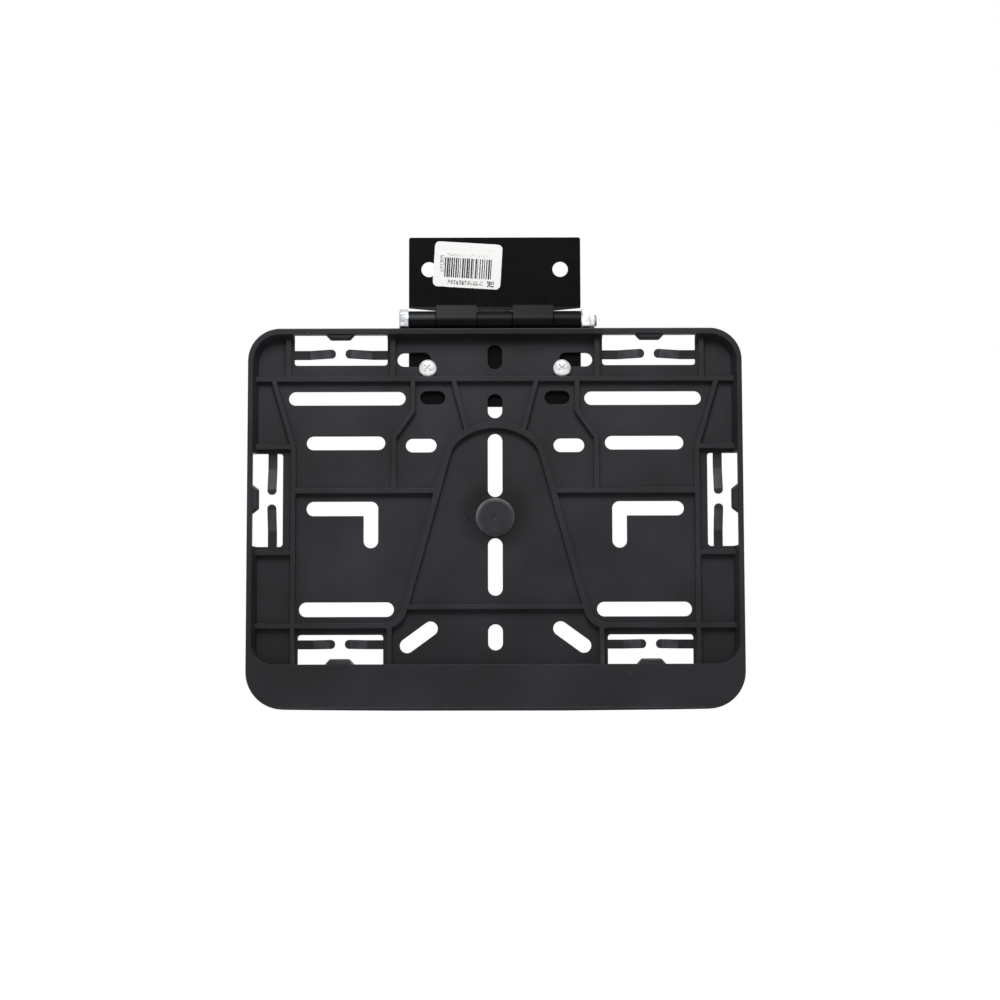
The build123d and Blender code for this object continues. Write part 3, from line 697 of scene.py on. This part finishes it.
@dataclass
class SoftenedSolid:
    """A CAD solid whose sharp edges get the small rounds of a real moulding or stamping.

    Attributes:
        node: CAD node that the piece stands for.
        carrier: Body that it moves with.
        slot: Material slot of the record; not used.
        finish: Finish of its surface.
        edge_mm: Size of the rounds.
        back_share: Size of the rounds on the back face, as a share of the others.
        kept_above_mm: Level above which edges near the centre line stay sharp.
        kept_share: How far to each side they stay so, as a share of the width.
        turn: Angle in degrees by which a screw is driven in further, about its own axis along Y.
        segments: Faces across a round.
        sharp: Least angle between two faces, in degrees, that gets a round.
    """

    node: str
    carrier: Carrier
    slot: Slot
    finish: Finish
    edge_mm: float
    back_share: float = 1.0
    kept_above_mm: float = 1000.0
    kept_share: float = 0.25
    turn: float = 0.0
    segments: int = 3
    sharp: float = 32.0

    def merged(self) -> bpy.types.Mesh:
        """Returns a copy of the solid's mesh with its triangles merged into flat faces."""
        copy = bmesh.new()
        copy.from_mesh(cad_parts[self.node].data)
        bmesh.ops.remove_doubles(copy, verts=copy.verts, dist=SAME_CORNER)
        bmesh.ops.dissolve_degenerate(copy, edges=copy.edges, dist=SAME_CORNER)
        bmesh.ops.dissolve_limit(copy, angle_limit=FLAT_ANGLE, verts=copy.verts, edges=copy.edges)
        if self.turn:
            low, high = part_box(self.node)
            about = Quaternion((0, 1, 0), radians(self.turn)).to_matrix()
            bmesh.ops.rotate(copy, cent=(low + high) / 2, matrix=about, verts=copy.verts)
        mesh = bpy.data.meshes.new(f"{self.node}_rounded")
        copy.to_mesh(mesh)
        copy.free()
        return mesh

    def mark_edges(self, mesh: bpy.types.Mesh) -> None:
        """Weighs the edges that get a round and marks the inward ones as sharp.

        An edge turns outward where the cross product of its two face normals runs with the edge,
        as the first face goes round it.

        Args:
            mesh: Closed mesh with flat faces.
        """
        points = values(mesh.vertices, "co", 3)
        ends = points[values(mesh.edges, "vertices", 2, int)]
        normals = values(mesh.polygons, "normal", 3)
        size = values(mesh.polygons, "loop_total", kind=int)
        first = np.repeat(values(mesh.polygons, "loop_start", kind=int), size)
        face = np.repeat(np.arange(len(size)), size)
        corner = np.arange(len(face))
        after = first + (corner - first + 1) % np.repeat(size, size)
        start = values(mesh.loops, "vertex_index", kind=int)
        along = points[start[after]] - points[start]
        pairs = np.argsort(values(mesh.loops, "edge_index", kind=int), kind="stable").reshape(-1, 2)
        one, other = normals[face[pairs[:, 0]]], normals[face[pairs[:, 1]]]
        steep = np.arccos(np.clip((one * other).sum(1), -1, 1)) > radians(self.sharp)
        outward = (np.cross(one, other) * along[pairs[:, 0]]).sum(1) > 0
        behind = ends[..., 1].min(1) > points[:, 1].max() - self.edge_mm * MM
        middle = ends.mean(1)
        central = abs(middle[:, 0]) < self.kept_share * np.ptp(points[:, 0])
        kept = (middle[:, 2] > self.kept_above_mm * MM) & central
        weight = np.where(steep & outward & ~kept, np.where(behind, self.back_share, 1.0), 0.0)
        layer = mesh.attributes.new("bevel_weight_edge", "FLOAT", "EDGE")
        layer.data.foreach_set("value", weight.astype(np.float32))
        layer = mesh.attributes.new("sharp_edge", "BOOLEAN", "EDGE")
        layer.data.foreach_set("value", steep & (weight == 0))

    def mark_wear_and_highlights(self, mesh: bpy.types.Mesh) -> None:
        """Leaves the faces of a plain solid as they are; a piece with painted highlights marks its own."""

    def build(self, material: bpy.types.Material) -> bpy.types.Object:
        """Rounds the edges and dresses the piece.

        Args:
            material: Material of the piece.

        Returns:
            The piece, riding on its body in place of the CAD node.
        """
        mesh = self.merged()
        self.mark_edges(mesh)
        self.mark_wear_and_highlights(mesh)
        mesh.polygons.foreach_set("use_smooth", np.ones(len(mesh.polygons), bool))
        piece = new_piece(mesh.name, mesh, material)
        bevel = piece.modifiers.new("rounds", "BEVEL")
        bevel.width = self.edge_mm * MM
        bevel.segments = self.segments
        bevel.limit_method = "WEIGHT"
        bevel.use_clamp_overlap = False
        bevel.loop_slide = False
        flats = piece.modifiers.new("flats", "WEIGHTED_NORMAL")
        flats.keep_sharp = True
        shaped = piece.evaluated_get(bpy.context.evaluated_depsgraph_get())
        piece.data = bpy.data.meshes.new_from_object(shaped)
        piece.modifiers.clear()
        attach(piece, self.carrier.value)
        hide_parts(self.node)
        return piece


@dataclass
class HolderFrame(SoftenedSolid):
    """The moulded frame, with painted highlights on its spring tongues and around its gate, and a faint
    polish on the gate's disc.

    Attributes:
        finish: Finish that names the attribute of the painted highlights and polish.
        slope: Least and greatest tilt of a tongue's slope in degrees.
        tongue_area_mm2: Least area of such a slope.
        tongue_highlight: Painted highlight on the tongues' slopes.
        gate: Place of the gate's disc across and up in millimetres.
        gate_mm: Radii at which the disc's flank starts, takes its full painted highlight and ends.
        front_tilt: Tilt in degrees from which a face belongs to the back.
        disc_area_mm2: Greatest area of a face of the disc.
        disc_wear: Burnish of the disc's face.
        flank_highlight: Mean painted highlight on the disc's flank, and its swing around the disc.
        inner_share: Painted highlight on the flank's inner part, as a share of the outer, brighter one.
        lit_from: Direction across and up towards which the flank's painted highlight is brightest.
    """

    finish: MouldedPolypropylene
    slope: Pair = (12.0, 30.0)
    tongue_area_mm2: float = 15.0
    tongue_highlight: float = 0.3
    gate: Pair = (0.0, -112.6)
    gate_mm: Triple = (5.0, 7.9, 9.0)
    front_tilt: float = 91.0
    disc_area_mm2: float = 250.0
    disc_wear: float = 0.07
    flank_highlight: Pair = (0.6, 0.4)
    inner_share: float = 1 / 3
    lit_from: Pair = (-0.5, 0.85)

    def mark_wear_and_highlights(self, mesh: bpy.types.Mesh) -> None:
        """Writes every face's share of pale grey: painted highlights on the tongues' slopes and the disc's
        flank, polish on the disc's face.

        Args:
            mesh: Closed mesh with flat faces.
        """
        normals = values(mesh.polygons, "normal", 3)
        centres = values(mesh.polygons, "center", 3) / MM
        areas = values(mesh.polygons, "area") / MM**2
        tilt = np.degrees(np.arccos(np.clip(-normals[:, 1], -1, 1)))
        # Painted highlight on the sloped faces of the tongues
        tongue = (tilt > self.slope[0]) & (tilt < self.slope[1]) & (areas > self.tongue_area_mm2)
        across, up = centres[:, 0] - self.gate[0], centres[:, 2] - self.gate[1]
        away = np.hypot(across, up)
        inner, bright, end = self.gate_mm
        disc = (away < end) & (tilt < self.front_tilt) & (areas < self.disc_area_mm2)
        flank = disc & (away > inner) & (tilt > self.slope[0])
        # Painted highlight on the disc's flank, brightest towards lit_from and fainter on its inner part
        mean, swing = self.flank_highlight
        lit = mean + (self.lit_from[1] * up + self.lit_from[0] * across) / np.maximum(away, 1) * swing
        lit *= np.where(away > bright, 1.0, self.inner_share)
        highlight_and_wear = np.where(tongue, self.tongue_highlight, np.where(disc, self.disc_wear, 0.0))
        layer = mesh.attributes.new(self.finish.highlight_and_wear, "FLOAT", "FACE")
        layer.data.foreach_set("value", np.where(flank, lit, highlight_and_wear).astype(np.float32))


@dataclass(frozen=True)
class Section:
    """Turned section of a fastener, in millimetres along its axis from its low end.

    Attributes:
        stations: Stations and radii in order.
        stock_end: End of the hexagon.
        thread_start: Start of the thread.
        ring: True where the section closes around a bore.
    """

    stations: list[Pair]
    stock_end: float
    thread_start: float
    ring: bool


@dataclass
class TurnedFastener:
    """A bolt or nut that is turned from hexagon stock.

    The surface is P(s, a) = O + x(s) A + r(s, a) (cos(a) U + sin(a) V), with O on the axis at the
    node's low end. The radius r is the profile's radius, no larger than the hexagon where the profile
    lies on the stock. The hexagon's radius is half the flats over cos(b), where b is the angle from
    the nearest flat. On a thread, r falls below the crest by a triangle wave of x over the pitch less
    the share of a turn.

    Attributes:
        node: CAD node that the piece stands for.
        finish: Finish of its surface.
        along: Run of its axis.
        flats_mm: Size across the hexagon's flats.
        corner_mm: Radius to the hexagon's corners, which the turning takes off a little.
        face_mm: Radius of the turned face at a chamfered end of the hexagon.
        chamfer_mm: Length of that chamfer.
        bore_mm: Radius of the shank or the bore.
        entry_mm: Chamfer at the mouth of a bore.
        pitch_mm: Pitch of the thread.
        thread_mm: Depth of the thread.
        step_mm: Distance between two rows of points on a thread.
        columns: Points around.
    """

    node: str
    finish: Finish
    along: Along = Along.HINGE
    flats_mm: float = 10.0
    corner_mm: float = 5.7
    face_mm: float = 4.7
    chamfer_mm: float = 0.55
    bore_mm: float = 2.95
    entry_mm: float = 0.3
    pitch_mm: float = 1.0
    thread_mm: float = 0.5
    step_mm: float = 0.1
    columns: int = 144

    def section(self, length: float) -> Section:
        """Gives the turned section.

        Args:
            length: Length of the node along its axis in millimetres.

        Returns:
            The section.
        """
        raise NotImplementedError

    def build(self, material: bpy.types.Material) -> bpy.types.Object:
        """Turns the piece and dresses it.

        Args:
            material: Material of the piece.

        Returns:
            The piece, riding on the holder in place of the CAD node.
        """
        axis, flat, side = (np.array(way, float) for way in self.along.value)
        low, high = (np.array(corner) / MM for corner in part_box(self.node))
        start = (low + high) / 2 * (1 - axis) + low * axis
        section = self.section(float((high - low) @ axis))
        closing = section.stations[:1] if section.ring else []
        corners = np.array(section.stations + closing)
        run = np.concatenate([[0], np.cumsum(np.hypot(*np.diff(corners, axis=0).T))])
        fine = np.arange(0, run[-1], self.step_mm)
        fine = fine[np.interp(fine, run, corners[:, 0]) > section.thread_start]
        fine = np.unique(np.concatenate([run, fine]).round(5))
        fine = fine[:-1] if section.ring else fine
        place, radius = (np.interp(fine, run, corners[:, i])[:, None] for i in (0, 1))
        angle = np.linspace(0, 2 * pi, self.columns, endpoint=False)[None]
        hexagon = self.flats_mm / 2 / np.cos((angle + pi / 6) % (pi / 3) - pi / 6)
        on_stock = place < section.stock_end + HAIR_MM
        radius = np.where(on_stock, np.minimum(radius, hexagon), radius)
        wave = abs((place / self.pitch_mm - angle / (2 * pi)) % 1 * 2 - 1)
        thread = np.minimum(radius, self.bore_mm - self.thread_mm * wave)
        radius = np.where(place > section.thread_start, thread, radius)
        out = np.cos(angle)[..., None] * flat + np.sin(angle)[..., None] * side
        points = start + place[..., None] * axis + radius[..., None] * out
        mesh = grid_mesh(f"{self.node}_turned", points * MM, wrap_rows=section.ring)
        piece = new_piece(mesh.name, mesh, material)
        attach(piece, Carrier.HOLDER.value)
        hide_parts(self.node)
        return piece


@dataclass
class HingeBolt(TurnedFastener):
    """Hex bolt that is the hinge pin, with a washer face under its head, a threaded end and dark rings of
    painted shade in the knuckle gaps.

    Attributes:
        pole_mm: Radius of the first and last ring of points.
        head_mm: Height of the head.
        dish_mm: Depth of the dish in the head, its radius and the radius of its rim.
        washer_mm: Height of the washer face.
        end_mm: Chamfer of the threaded end.
        threaded_mm: Length of thread that is cut into the surface.
        gaps_mm: Distances of the gaps between the knuckles from the middle of the hinge.
        hinge_shade_mm: Width of the dark ring of painted shade that fills a gap.
        hinge_shade_radius_mm: Radius that that ring reaches.
    """

    pole_mm: float = 0.02
    head_mm: float = 4.0
    dish_mm: Triple = (0.12, 3.2, 3.5)
    washer_mm: float = 0.25
    end_mm: float = 0.5
    threaded_mm: float = 2.6
    gaps_mm: tuple[float, ...] = (-26.325, -7.875, 7.875, 26.325)
    hinge_shade_mm: float = 0.23
    hinge_shade_radius_mm: float = 4.62

    def section(self, length: float) -> Section:
        """Gives the bolt's section from the middle of its head to the middle of its end."""
        middle = -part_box(self.node)[0].x / MM
        # Rings in the gaps between the knuckles, darkened as painted shade
        half = self.hinge_shade_mm / 2
        hinge_shade = []
        for gap in self.gaps_mm:
            start, end = middle + gap - half, middle + gap + half
            hinge_shade += [(start, self.bore_mm), (start, self.hinge_shade_radius_mm)]
            hinge_shade += [(end, self.hinge_shade_radius_mm), (end, self.bore_mm)]
        dish, dish_radius, dish_rim = self.dish_mm
        stations = [
            (dish, self.pole_mm),
            (dish, dish_radius),
            (0.0, dish_rim),
            (0.0, self.face_mm),
            (self.chamfer_mm, self.corner_mm),
            (self.head_mm - self.washer_mm, self.corner_mm),
            (self.head_mm - self.washer_mm, self.face_mm),
            (self.head_mm, self.face_mm),
            (self.head_mm, self.bore_mm),
            *hinge_shade,
            (length - self.end_mm, self.bore_mm),
            (length, self.bore_mm - self.end_mm),
            (length, self.pole_mm),
        ]
        return Section(stations, self.head_mm, length - self.threaded_mm, False)


@dataclass
class LockNut(TurnedFastener):
    """Self-locking hex nut whose collar is rolled over a nylon ring.

    Attributes:
        hex_mm: Height of the hexagon.
        collar_mm: Radius of the collar.
        roll_mm: Radius of the collar's roll.
        roll_points: Points on that roll.
        pocket_mm: Radius of the ring's pocket.
        lip_mm: Thickness of the rolled lip.
        lip_edge_mm: Chamfer of that lip.
        mouth_mm: Radius of the lip's mouth, through which the ring shows.
    """

    bore_mm: float = 3.0
    hex_mm: float = 4.3
    collar_mm: float = 4.63
    roll_mm: float = 0.6
    roll_points: int = 5
    pocket_mm: float = 4.03
    lip_mm: float = 0.38
    lip_edge_mm: float = 0.08
    mouth_mm: float = 3.45

    def section(self, length: float) -> Section:
        """Gives the nut's section, around the hexagon, over the collar and back through the bore."""
        roll = [
            (length - self.roll_mm * (1 - sin(bend)), self.collar_mm - self.roll_mm * (1 - cos(bend)))
            for bend in np.linspace(0, pi / 2, self.roll_points)
        ]
        stations = [
            (0.0, self.bore_mm + self.entry_mm),
            (0.0, self.face_mm),
            (self.chamfer_mm, self.corner_mm),
            (self.hex_mm - self.chamfer_mm, self.corner_mm),
            (self.hex_mm, self.face_mm),
            (self.hex_mm, self.collar_mm),
            *roll,
            (length, self.mouth_mm + self.lip_edge_mm),
            (length - self.lip_edge_mm, self.mouth_mm),
            (length - self.lip_mm, self.mouth_mm),
            (length - self.lip_mm, self.pocket_mm),
            (self.hex_mm, self.pocket_mm),
            (self.hex_mm, self.bore_mm),
            (self.entry_mm, self.bore_mm),
        ]
        return Section(stations, self.hex_mm, length, True)


@dataclass
class FrameNut(TurnedFastener):
    """Plain hex nut behind the lower leaf, chamfered on both ends."""

    along: Along = Along.DEPTH
    flats_mm: float = 7.0
    corner_mm: float = 4.0
    face_mm: float = 3.3
    chamfer_mm: float = 0.38
    bore_mm: float = 2.0
    entry_mm: float = 0.25

    def section(self, length: float) -> Section:
        """Gives the nut's section, around the hexagon and back through the bore."""
        stations = [
            (0.0, self.bore_mm + self.entry_mm),
            (0.0, self.face_mm),
            (self.chamfer_mm, self.corner_mm),
            (length - self.chamfer_mm, self.corner_mm),
            (length, self.face_mm),
            (length, self.bore_mm + self.entry_mm),
            (length - self.entry_mm, self.bore_mm),
            (self.entry_mm, self.bore_mm),
        ]
        return Section(stations, length, length + 1, True)


@dataclass
class StockLabel:
    """Paper label stuck on the front of the upper leaf.

    Attributes:
        sheet_mm: Thickness of the leaf's sheet.
        width_mm: Width of the label.
        height_mm: Height of the label.
        corner_mm: Radius of its corners.
        thickness_mm: Thickness of the paper with its glue.
        glue_mm: Distance of its back from the leaf.
        across_mm: Place of its middle from the centre line, negative to the left.
        up_mm: Place of its middle above the mounting holes.
        turn: Angle in degrees by which it is stuck on askew, clockwise.
        rings: Rows of points from the middle to the edge.
        pole_share: Size of the first of them, as a share of the last.
        corner_points: Points on a corner.
    """

    finish: PrintedLabelPaper
    sheet_mm: float = 1.5
    width_mm: float = 30.45
    height_mm: float = 20.6
    corner_mm: float = 2.2
    thickness_mm: float = 0.12
    glue_mm: float = 0.01
    across_mm: float = -12.15
    up_mm: float = 1.73
    turn: float = 3.5
    rings: int = 6
    pole_share: float = 0.02
    corner_points: int = 8

    def edge(self) -> np.ndarray:
        """Returns the outline: four quarter circles of the corner radius, joined by straight sides."""
        half = np.array([self.width_mm / 2, self.height_mm / 2]) - self.corner_mm
        angle = np.linspace(0, pi / 2, self.corner_points)
        quarter = self.corner_mm * np.stack([np.cos(angle), np.sin(angle)], -1)
        corners = []
        for turn, signs in enumerate(((1, 1), (-1, 1), (-1, -1), (1, -1))):
            c, s = round(cos(turn * pi / 2)), round(sin(turn * pi / 2))
            corners.append(quarter @ np.array([[c, s], [-s, c]]) + half * np.array(signs))
        return np.concatenate(corners)

    def build(self, material: bpy.types.Material) -> bpy.types.Object:
        """Lays the label on the leaf.

        Each row of points is the outline times a share of its size, first on the front and then on the back.

        Args:
            material: Material of the label.

        Returns:
            The label, riding on the bracket.
        """
        share = np.linspace(self.pole_share, 1, self.rings)
        front = share[:, None, None] * self.edge()[None]
        flat = np.concatenate([front, front[::-1]])
        level = np.repeat([self.thickness_mm, self.glue_mm], self.rings)
        leaf_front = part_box("upper_leaf")[1].y / MM - self.sheet_mm
        turn = radians(self.turn)
        along, rise = flat[..., 0], flat[..., 1]
        points = np.empty((*flat.shape[:2], 3))
        points[..., 0] = self.across_mm + along * cos(turn) + rise * sin(turn)
        points[..., 1] = leaf_front - level[:, None]
        points[..., 2] = self.up_mm - along * sin(turn) + rise * cos(turn)
        mesh = grid_mesh("stock_label", points * MM)
        self.unwrap(mesh)
        piece = new_piece("stock_label", mesh, material)
        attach(piece, Carrier.BRACKET.value)
        return piece

    def unwrap(self, mesh: bpy.types.Mesh) -> None:
        """Gives the label a UV map that runs from 0 to 1 over its width and height.

        Args:
            mesh: Mesh of the label, in its place.
        """
        points = values(mesh.vertices, "co", 3) / MM - (self.across_mm, 0, self.up_mm)
        turn = radians(self.turn)
        along = points[:, 0] * cos(turn) - points[:, 2] * sin(turn)
        rise = points[:, 0] * sin(turn) + points[:, 2] * cos(turn)
        flat = np.stack([along / self.width_mm, rise / self.height_mm], -1) + 0.5
        layer = mesh.uv_layers.new(name="label")
        layer.data.foreach_set("uv", flat[values(mesh.loops, "vertex_index", kind=int)].ravel())


@dataclass(frozen=True)
class SoftLamp:
    """A square soft lamp.

    Attributes:
        name: Name of the lamp.
        place: Place in metres.
        size: Side of its face in metres.
        power: Power in watts.
        target: Point that it shines at, in metres.
    """

    name: str
    place: Triple
    size: float
    power: float
    target: Triple = (0.0, 0.0, -0.1)

    def build(self) -> None:
        """Hangs the lamp."""
        light = bpy.data.lights.new(self.name, "AREA")
        light.size = self.size
        light.energy = self.power
        lamp = bpy.data.objects.new(self.name, light)
        lamp.location = self.place
        lamp.rotation_mode = "QUATERNION"
        lamp.rotation_quaternion = (Vector(self.target) - Vector(self.place)).to_track_quat("-Z", "Y")
        bpy.context.scene.collection.objects.link(lamp)


@dataclass
class Studio:
    """Pale floor, white surroundings and soft lamps.

    Attributes:
        floor_drop_mm: Depth of the floor below the object.
        floor_mm: Side of the floor.
        floor_colour: Colour of the floor as the object's light meets it.
        lit_colour: Colour that takes the shadow, where the camera sees the floor.
        shadow_mm: Distances from the origin up to which the shadow shows and from which the floor is white.
        shadow_glow: Glow of the floor at the first of them, which the lamps bring up to white.
        far_glow: Glow of the floor at the second.
        ambient: Light of the surroundings on matt surfaces.
        glow: Light of the surroundings in reflections, in front and behind.
        glow_span: Sums of a direction's parts back and up at which these two are reached.
        lamps: The lamps.
    """

    floor_drop_mm: float = 260.0
    floor_mm: float = 12000.0
    floor_colour: str = "#b0b0b0"
    lit_colour: str = "#e6e6e6"
    shadow_mm: Pair = (480.0, 1050.0)
    shadow_glow: float = 0.46
    far_glow: float = 0.85
    ambient: float = 0.26
    glow: Pair = (0.25, 1.0)
    glow_span: Pair = (-0.9, 0.7)
    lamps: tuple[SoftLamp, ...] = (
        SoftLamp("key", (-0.03, -0.6, 0.5), 0.42, 6.4),
        SoftLamp("behind", (0.3, 1.1, 0.7), 0.8, 6.0),
    )

    def build(self) -> None:
        """Makes the floor, the world and the lamps."""
        self.floor()
        self.world()
        for lamp in self.lamps:
            lamp.build()

    @staticmethod
    def seen_by(tree: Any, *rays: Ray) -> Any:
        """Adds a factor that is 1 for some kinds of ray.

        Args:
            tree: Node tree of the floor or the world.
            rays: Kinds of ray.

        Returns:
            Socket or node with the factor.
        """
        path = add_node(tree, "LightPath").outputs
        factor = path[rays[0].value]
        for ray in rays[1:]:
            factor = add_node(tree, "Math", {"operation": "MAXIMUM"}, {0: factor, 1: path[ray.value]})
        return factor

    def floor(self) -> None:
        """Lays a square floor below the object."""
        half = self.floor_mm / 2 * MM
        level = cad_box[0].z - self.floor_drop_mm * MM
        corners = [(-half, -half, level), (half, -half, level), (half, half, level), (-half, half, level)]
        mesh = bpy.data.meshes.new("studio_floor")
        mesh.from_pydata(corners, [], [(0, 1, 2, 3)])
        paint = bpy.data.materials.new("studio_floor")
        paint.use_nodes = True
        tree = paint.node_tree
        tree.nodes.clear()
        matt = add_node(tree, "BsdfDiffuse", {"Color": linear(self.floor_colour)})
        # The camera sees a glowing floor that still takes the shadow, and white further off
        place = add_node(tree, "TexCoord").outputs["Object"]
        away = add_node(tree, "VectorMath", {"operation": "LENGTH"}, {0: place})
        near, far = (reach * MM for reach in self.shadow_mm)
        settings = {"From Min": near, "From Max": far, "To Min": self.shadow_glow, "To Max": self.far_glow}
        glow = add_node(tree, "MapRange", settings, {"Value": away})
        shine = add_node(tree, "Emission", {"Color": linear(WHITE)}, {"Strength": glow})
        lit = add_node(tree, "BsdfDiffuse", {"Color": linear(self.lit_colour)})
        seen = add_node(tree, "AddShader", links={0: shine, 1: lit})
        factor = self.seen_by(tree, Ray.CAMERA, Ray.GLOSSY)
        mix = add_node(tree, "MixShader", links={0: factor, 1: matt, 2: seen})
        add_node(tree, "OutputMaterial", links={"Surface": mix})
        floor = new_piece("studio_floor", mesh, paint)

    def world(self) -> None:
        """Makes surroundings that are white to the camera and dimmer towards the front."""
        world = bpy.data.worlds.new("studio")
        bpy.context.scene.world = world
        world.use_nodes = True
        tree = world.node_tree
        tree.nodes.clear()
        white = {"Color": linear(WHITE)}
        way = add_node(tree, "TexCoord").outputs["Generated"]
        split = add_node(tree, "SeparateXYZ", links={"Vector": way}).outputs
        lift = add_node(tree, "Math", {"operation": "ADD"}, {0: split["Y"], 1: split["Z"]})
        settings = {"From Min": self.glow_span[0], "From Max": self.glow_span[1]}
        settings |= {"To Min": self.glow[0], "To Max": self.glow[1]}
        glow = add_node(tree, "MapRange", settings, {"Value": lift})
        shine = add_node(tree, "Background", white, {"Strength": glow})
        dim = add_node(tree, "Background", {**white, "Strength": self.ambient})
        seen = add_node(tree, "Background", {**white, "Strength": 1.0})
        glossy = self.seen_by(tree, Ray.GLOSSY)
        light = add_node(tree, "MixShader", links={0: glossy, 1: dim, 2: shine})
        factor = self.seen_by(tree, Ray.CAMERA, Ray.TRANSMISSION)
        mix = add_node(tree, "MixShader", links={0: factor, 1: light, 2: seen})
        add_node(tree, "OutputWorld", links={"Surface": mix})


@dataclass
class PhotoCamera:
    """Camera straight in front of the plate side and a little below it.

    Attributes:
        distance_mm: Distance from the middle of the frame's front.
        elevation: Height of the camera above the horizon in degrees, negative below it.
        roll: Angle in degrees by which it leans.
        across_mm: Width of the view at that distance.
        middle_px: Where the middle of the frame's front falls in the image.
        image_px: Side of the image.
        sensor_mm: Width of the sensor.
        clip: Nearest and furthest distance that it sees, in metres.
    """

    distance_mm: float = 1000.0
    elevation: float = -5.83
    roll: float = 0.14
    across_mm: float = 441.8
    middle_px: Pair = (495.25, 517.8)
    image_px: float = 1000.0
    sensor_mm: float = 36.0
    clip: Pair = (0.05, 50.0)

    def build(self) -> None:
        """Makes the camera and hands it to the scene."""
        low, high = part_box("holder_frame")
        middle = Vector((0, low.y, (low.z + high.z) / 2))
        tilt = radians(self.elevation)
        back = Vector((0, -cos(tilt), sin(tilt)))
        lens = bpy.data.cameras.new("photo")
        lens.sensor_width = self.sensor_mm
        lens.lens = self.sensor_mm * self.distance_mm / self.across_mm
        lens.shift_x = 0.5 - self.middle_px[0] / self.image_px
        lens.shift_y = self.middle_px[1] / self.image_px - 0.5
        lens.clip_start, lens.clip_end = self.clip
        camera = bpy.data.objects.new("photo", lens)
        camera.location = middle + back * self.distance_mm * MM
        camera.rotation_mode = "QUATERNION"
        level = (-back).to_track_quat("-Z", "Y")
        camera.rotation_quaternion = level @ Quaternion((0, 0, 1), radians(-self.roll))
        bpy.context.scene.collection.objects.link(camera)
        bpy.context.scene.camera = camera


def main() -> None:
    """Builds every piece, the studio and the camera, and logs each piece's faces."""
    logging.basicConfig(level=logging.INFO, format="%(name)s %(message)s")
    plastic = MouldedPolypropylene("moulded_polypropylene")
    coat = PowderCoatedSteel("powder_coated_steel")
    # The lower leaf's knuckles get their own band of painted highlight
    lower_coat = PowderCoatedSteel(
        "highlit_powder_coated_steel",
        painted_highlight="#464647",
        painted_highlight_mm=(-24.7, -23.2, -22.7, -21.2),
        across_mm=(-30.0, -6.0),
        right_share=0.22,
    )
    grey, white = TwoTone("#aaaeb3", "#d2d5d8", Cloud(1.8)), TwoTone("#eceeef", "#f8f9fa", Cloud(1.8))
    # The bolt's shank takes painted shade inside the hinge
    bolt_zinc = BrightZinc("shaded_shank_zinc_plate", grey, metal=1.0, shank_shade_half_mm=38.5)
    # A whitened copy of the zinc stands in for light, so that the screws and nut read near-white
    whitened_zinc = BrightZinc("whitened_zinc_plate", white, metal=0.6)
    nylon = NaturalNylon("natural_nylon")
    paper = PrintedLabelPaper("printed_label_paper")
    finishes = (plastic, coat, lower_coat, bolt_zinc, whitened_zinc, nylon, paper)
    materials = {finish.name: finish.material() for finish in finishes}

    pieces: list[SoftenedSolid | TurnedFastener | StockLabel] = [
        HolderFrame("holder_frame", Carrier.HOLDER, Slot.PLASTIC, plastic, 0.35, 0.3, kept_above_mm=-30.6),
        SoftenedSolid("upper_leaf", Carrier.BRACKET, Slot.LEAF, coat, 0.3),
        SoftenedSolid("lower_leaf", Carrier.HOLDER, Slot.LEAF, lower_coat, 0.3),
        HingeBolt("hinge_bolt", bolt_zinc),
        LockNut("hinge_nut", whitened_zinc),
        SoftenedSolid("hinge_nut_insert", Carrier.HOLDER, Slot.NYLON, nylon, 0.15),
    ]
    for side, turn in (("left", 38.0), ("right", 47.0)):
        screw = f"frame_screw_{side}"
        pieces.append(SoftenedSolid(screw, Carrier.HOLDER, Slot.ZINC, whitened_zinc, 0.07, turn=turn))
        pieces.append(FrameNut(f"frame_nut_{side}", whitened_zinc))
    pieces.append(StockLabel(paper))
    for piece in pieces:
        made = piece.build(materials[piece.finish.name])
        log.info("%s: %d faces", made.name, len(made.data.polygons))
    Studio().build()
    PhotoCamera().build()

    bpy.context.scene.view_settings.view_transform = "Standard"


if __name__ == "__main__":
    main()
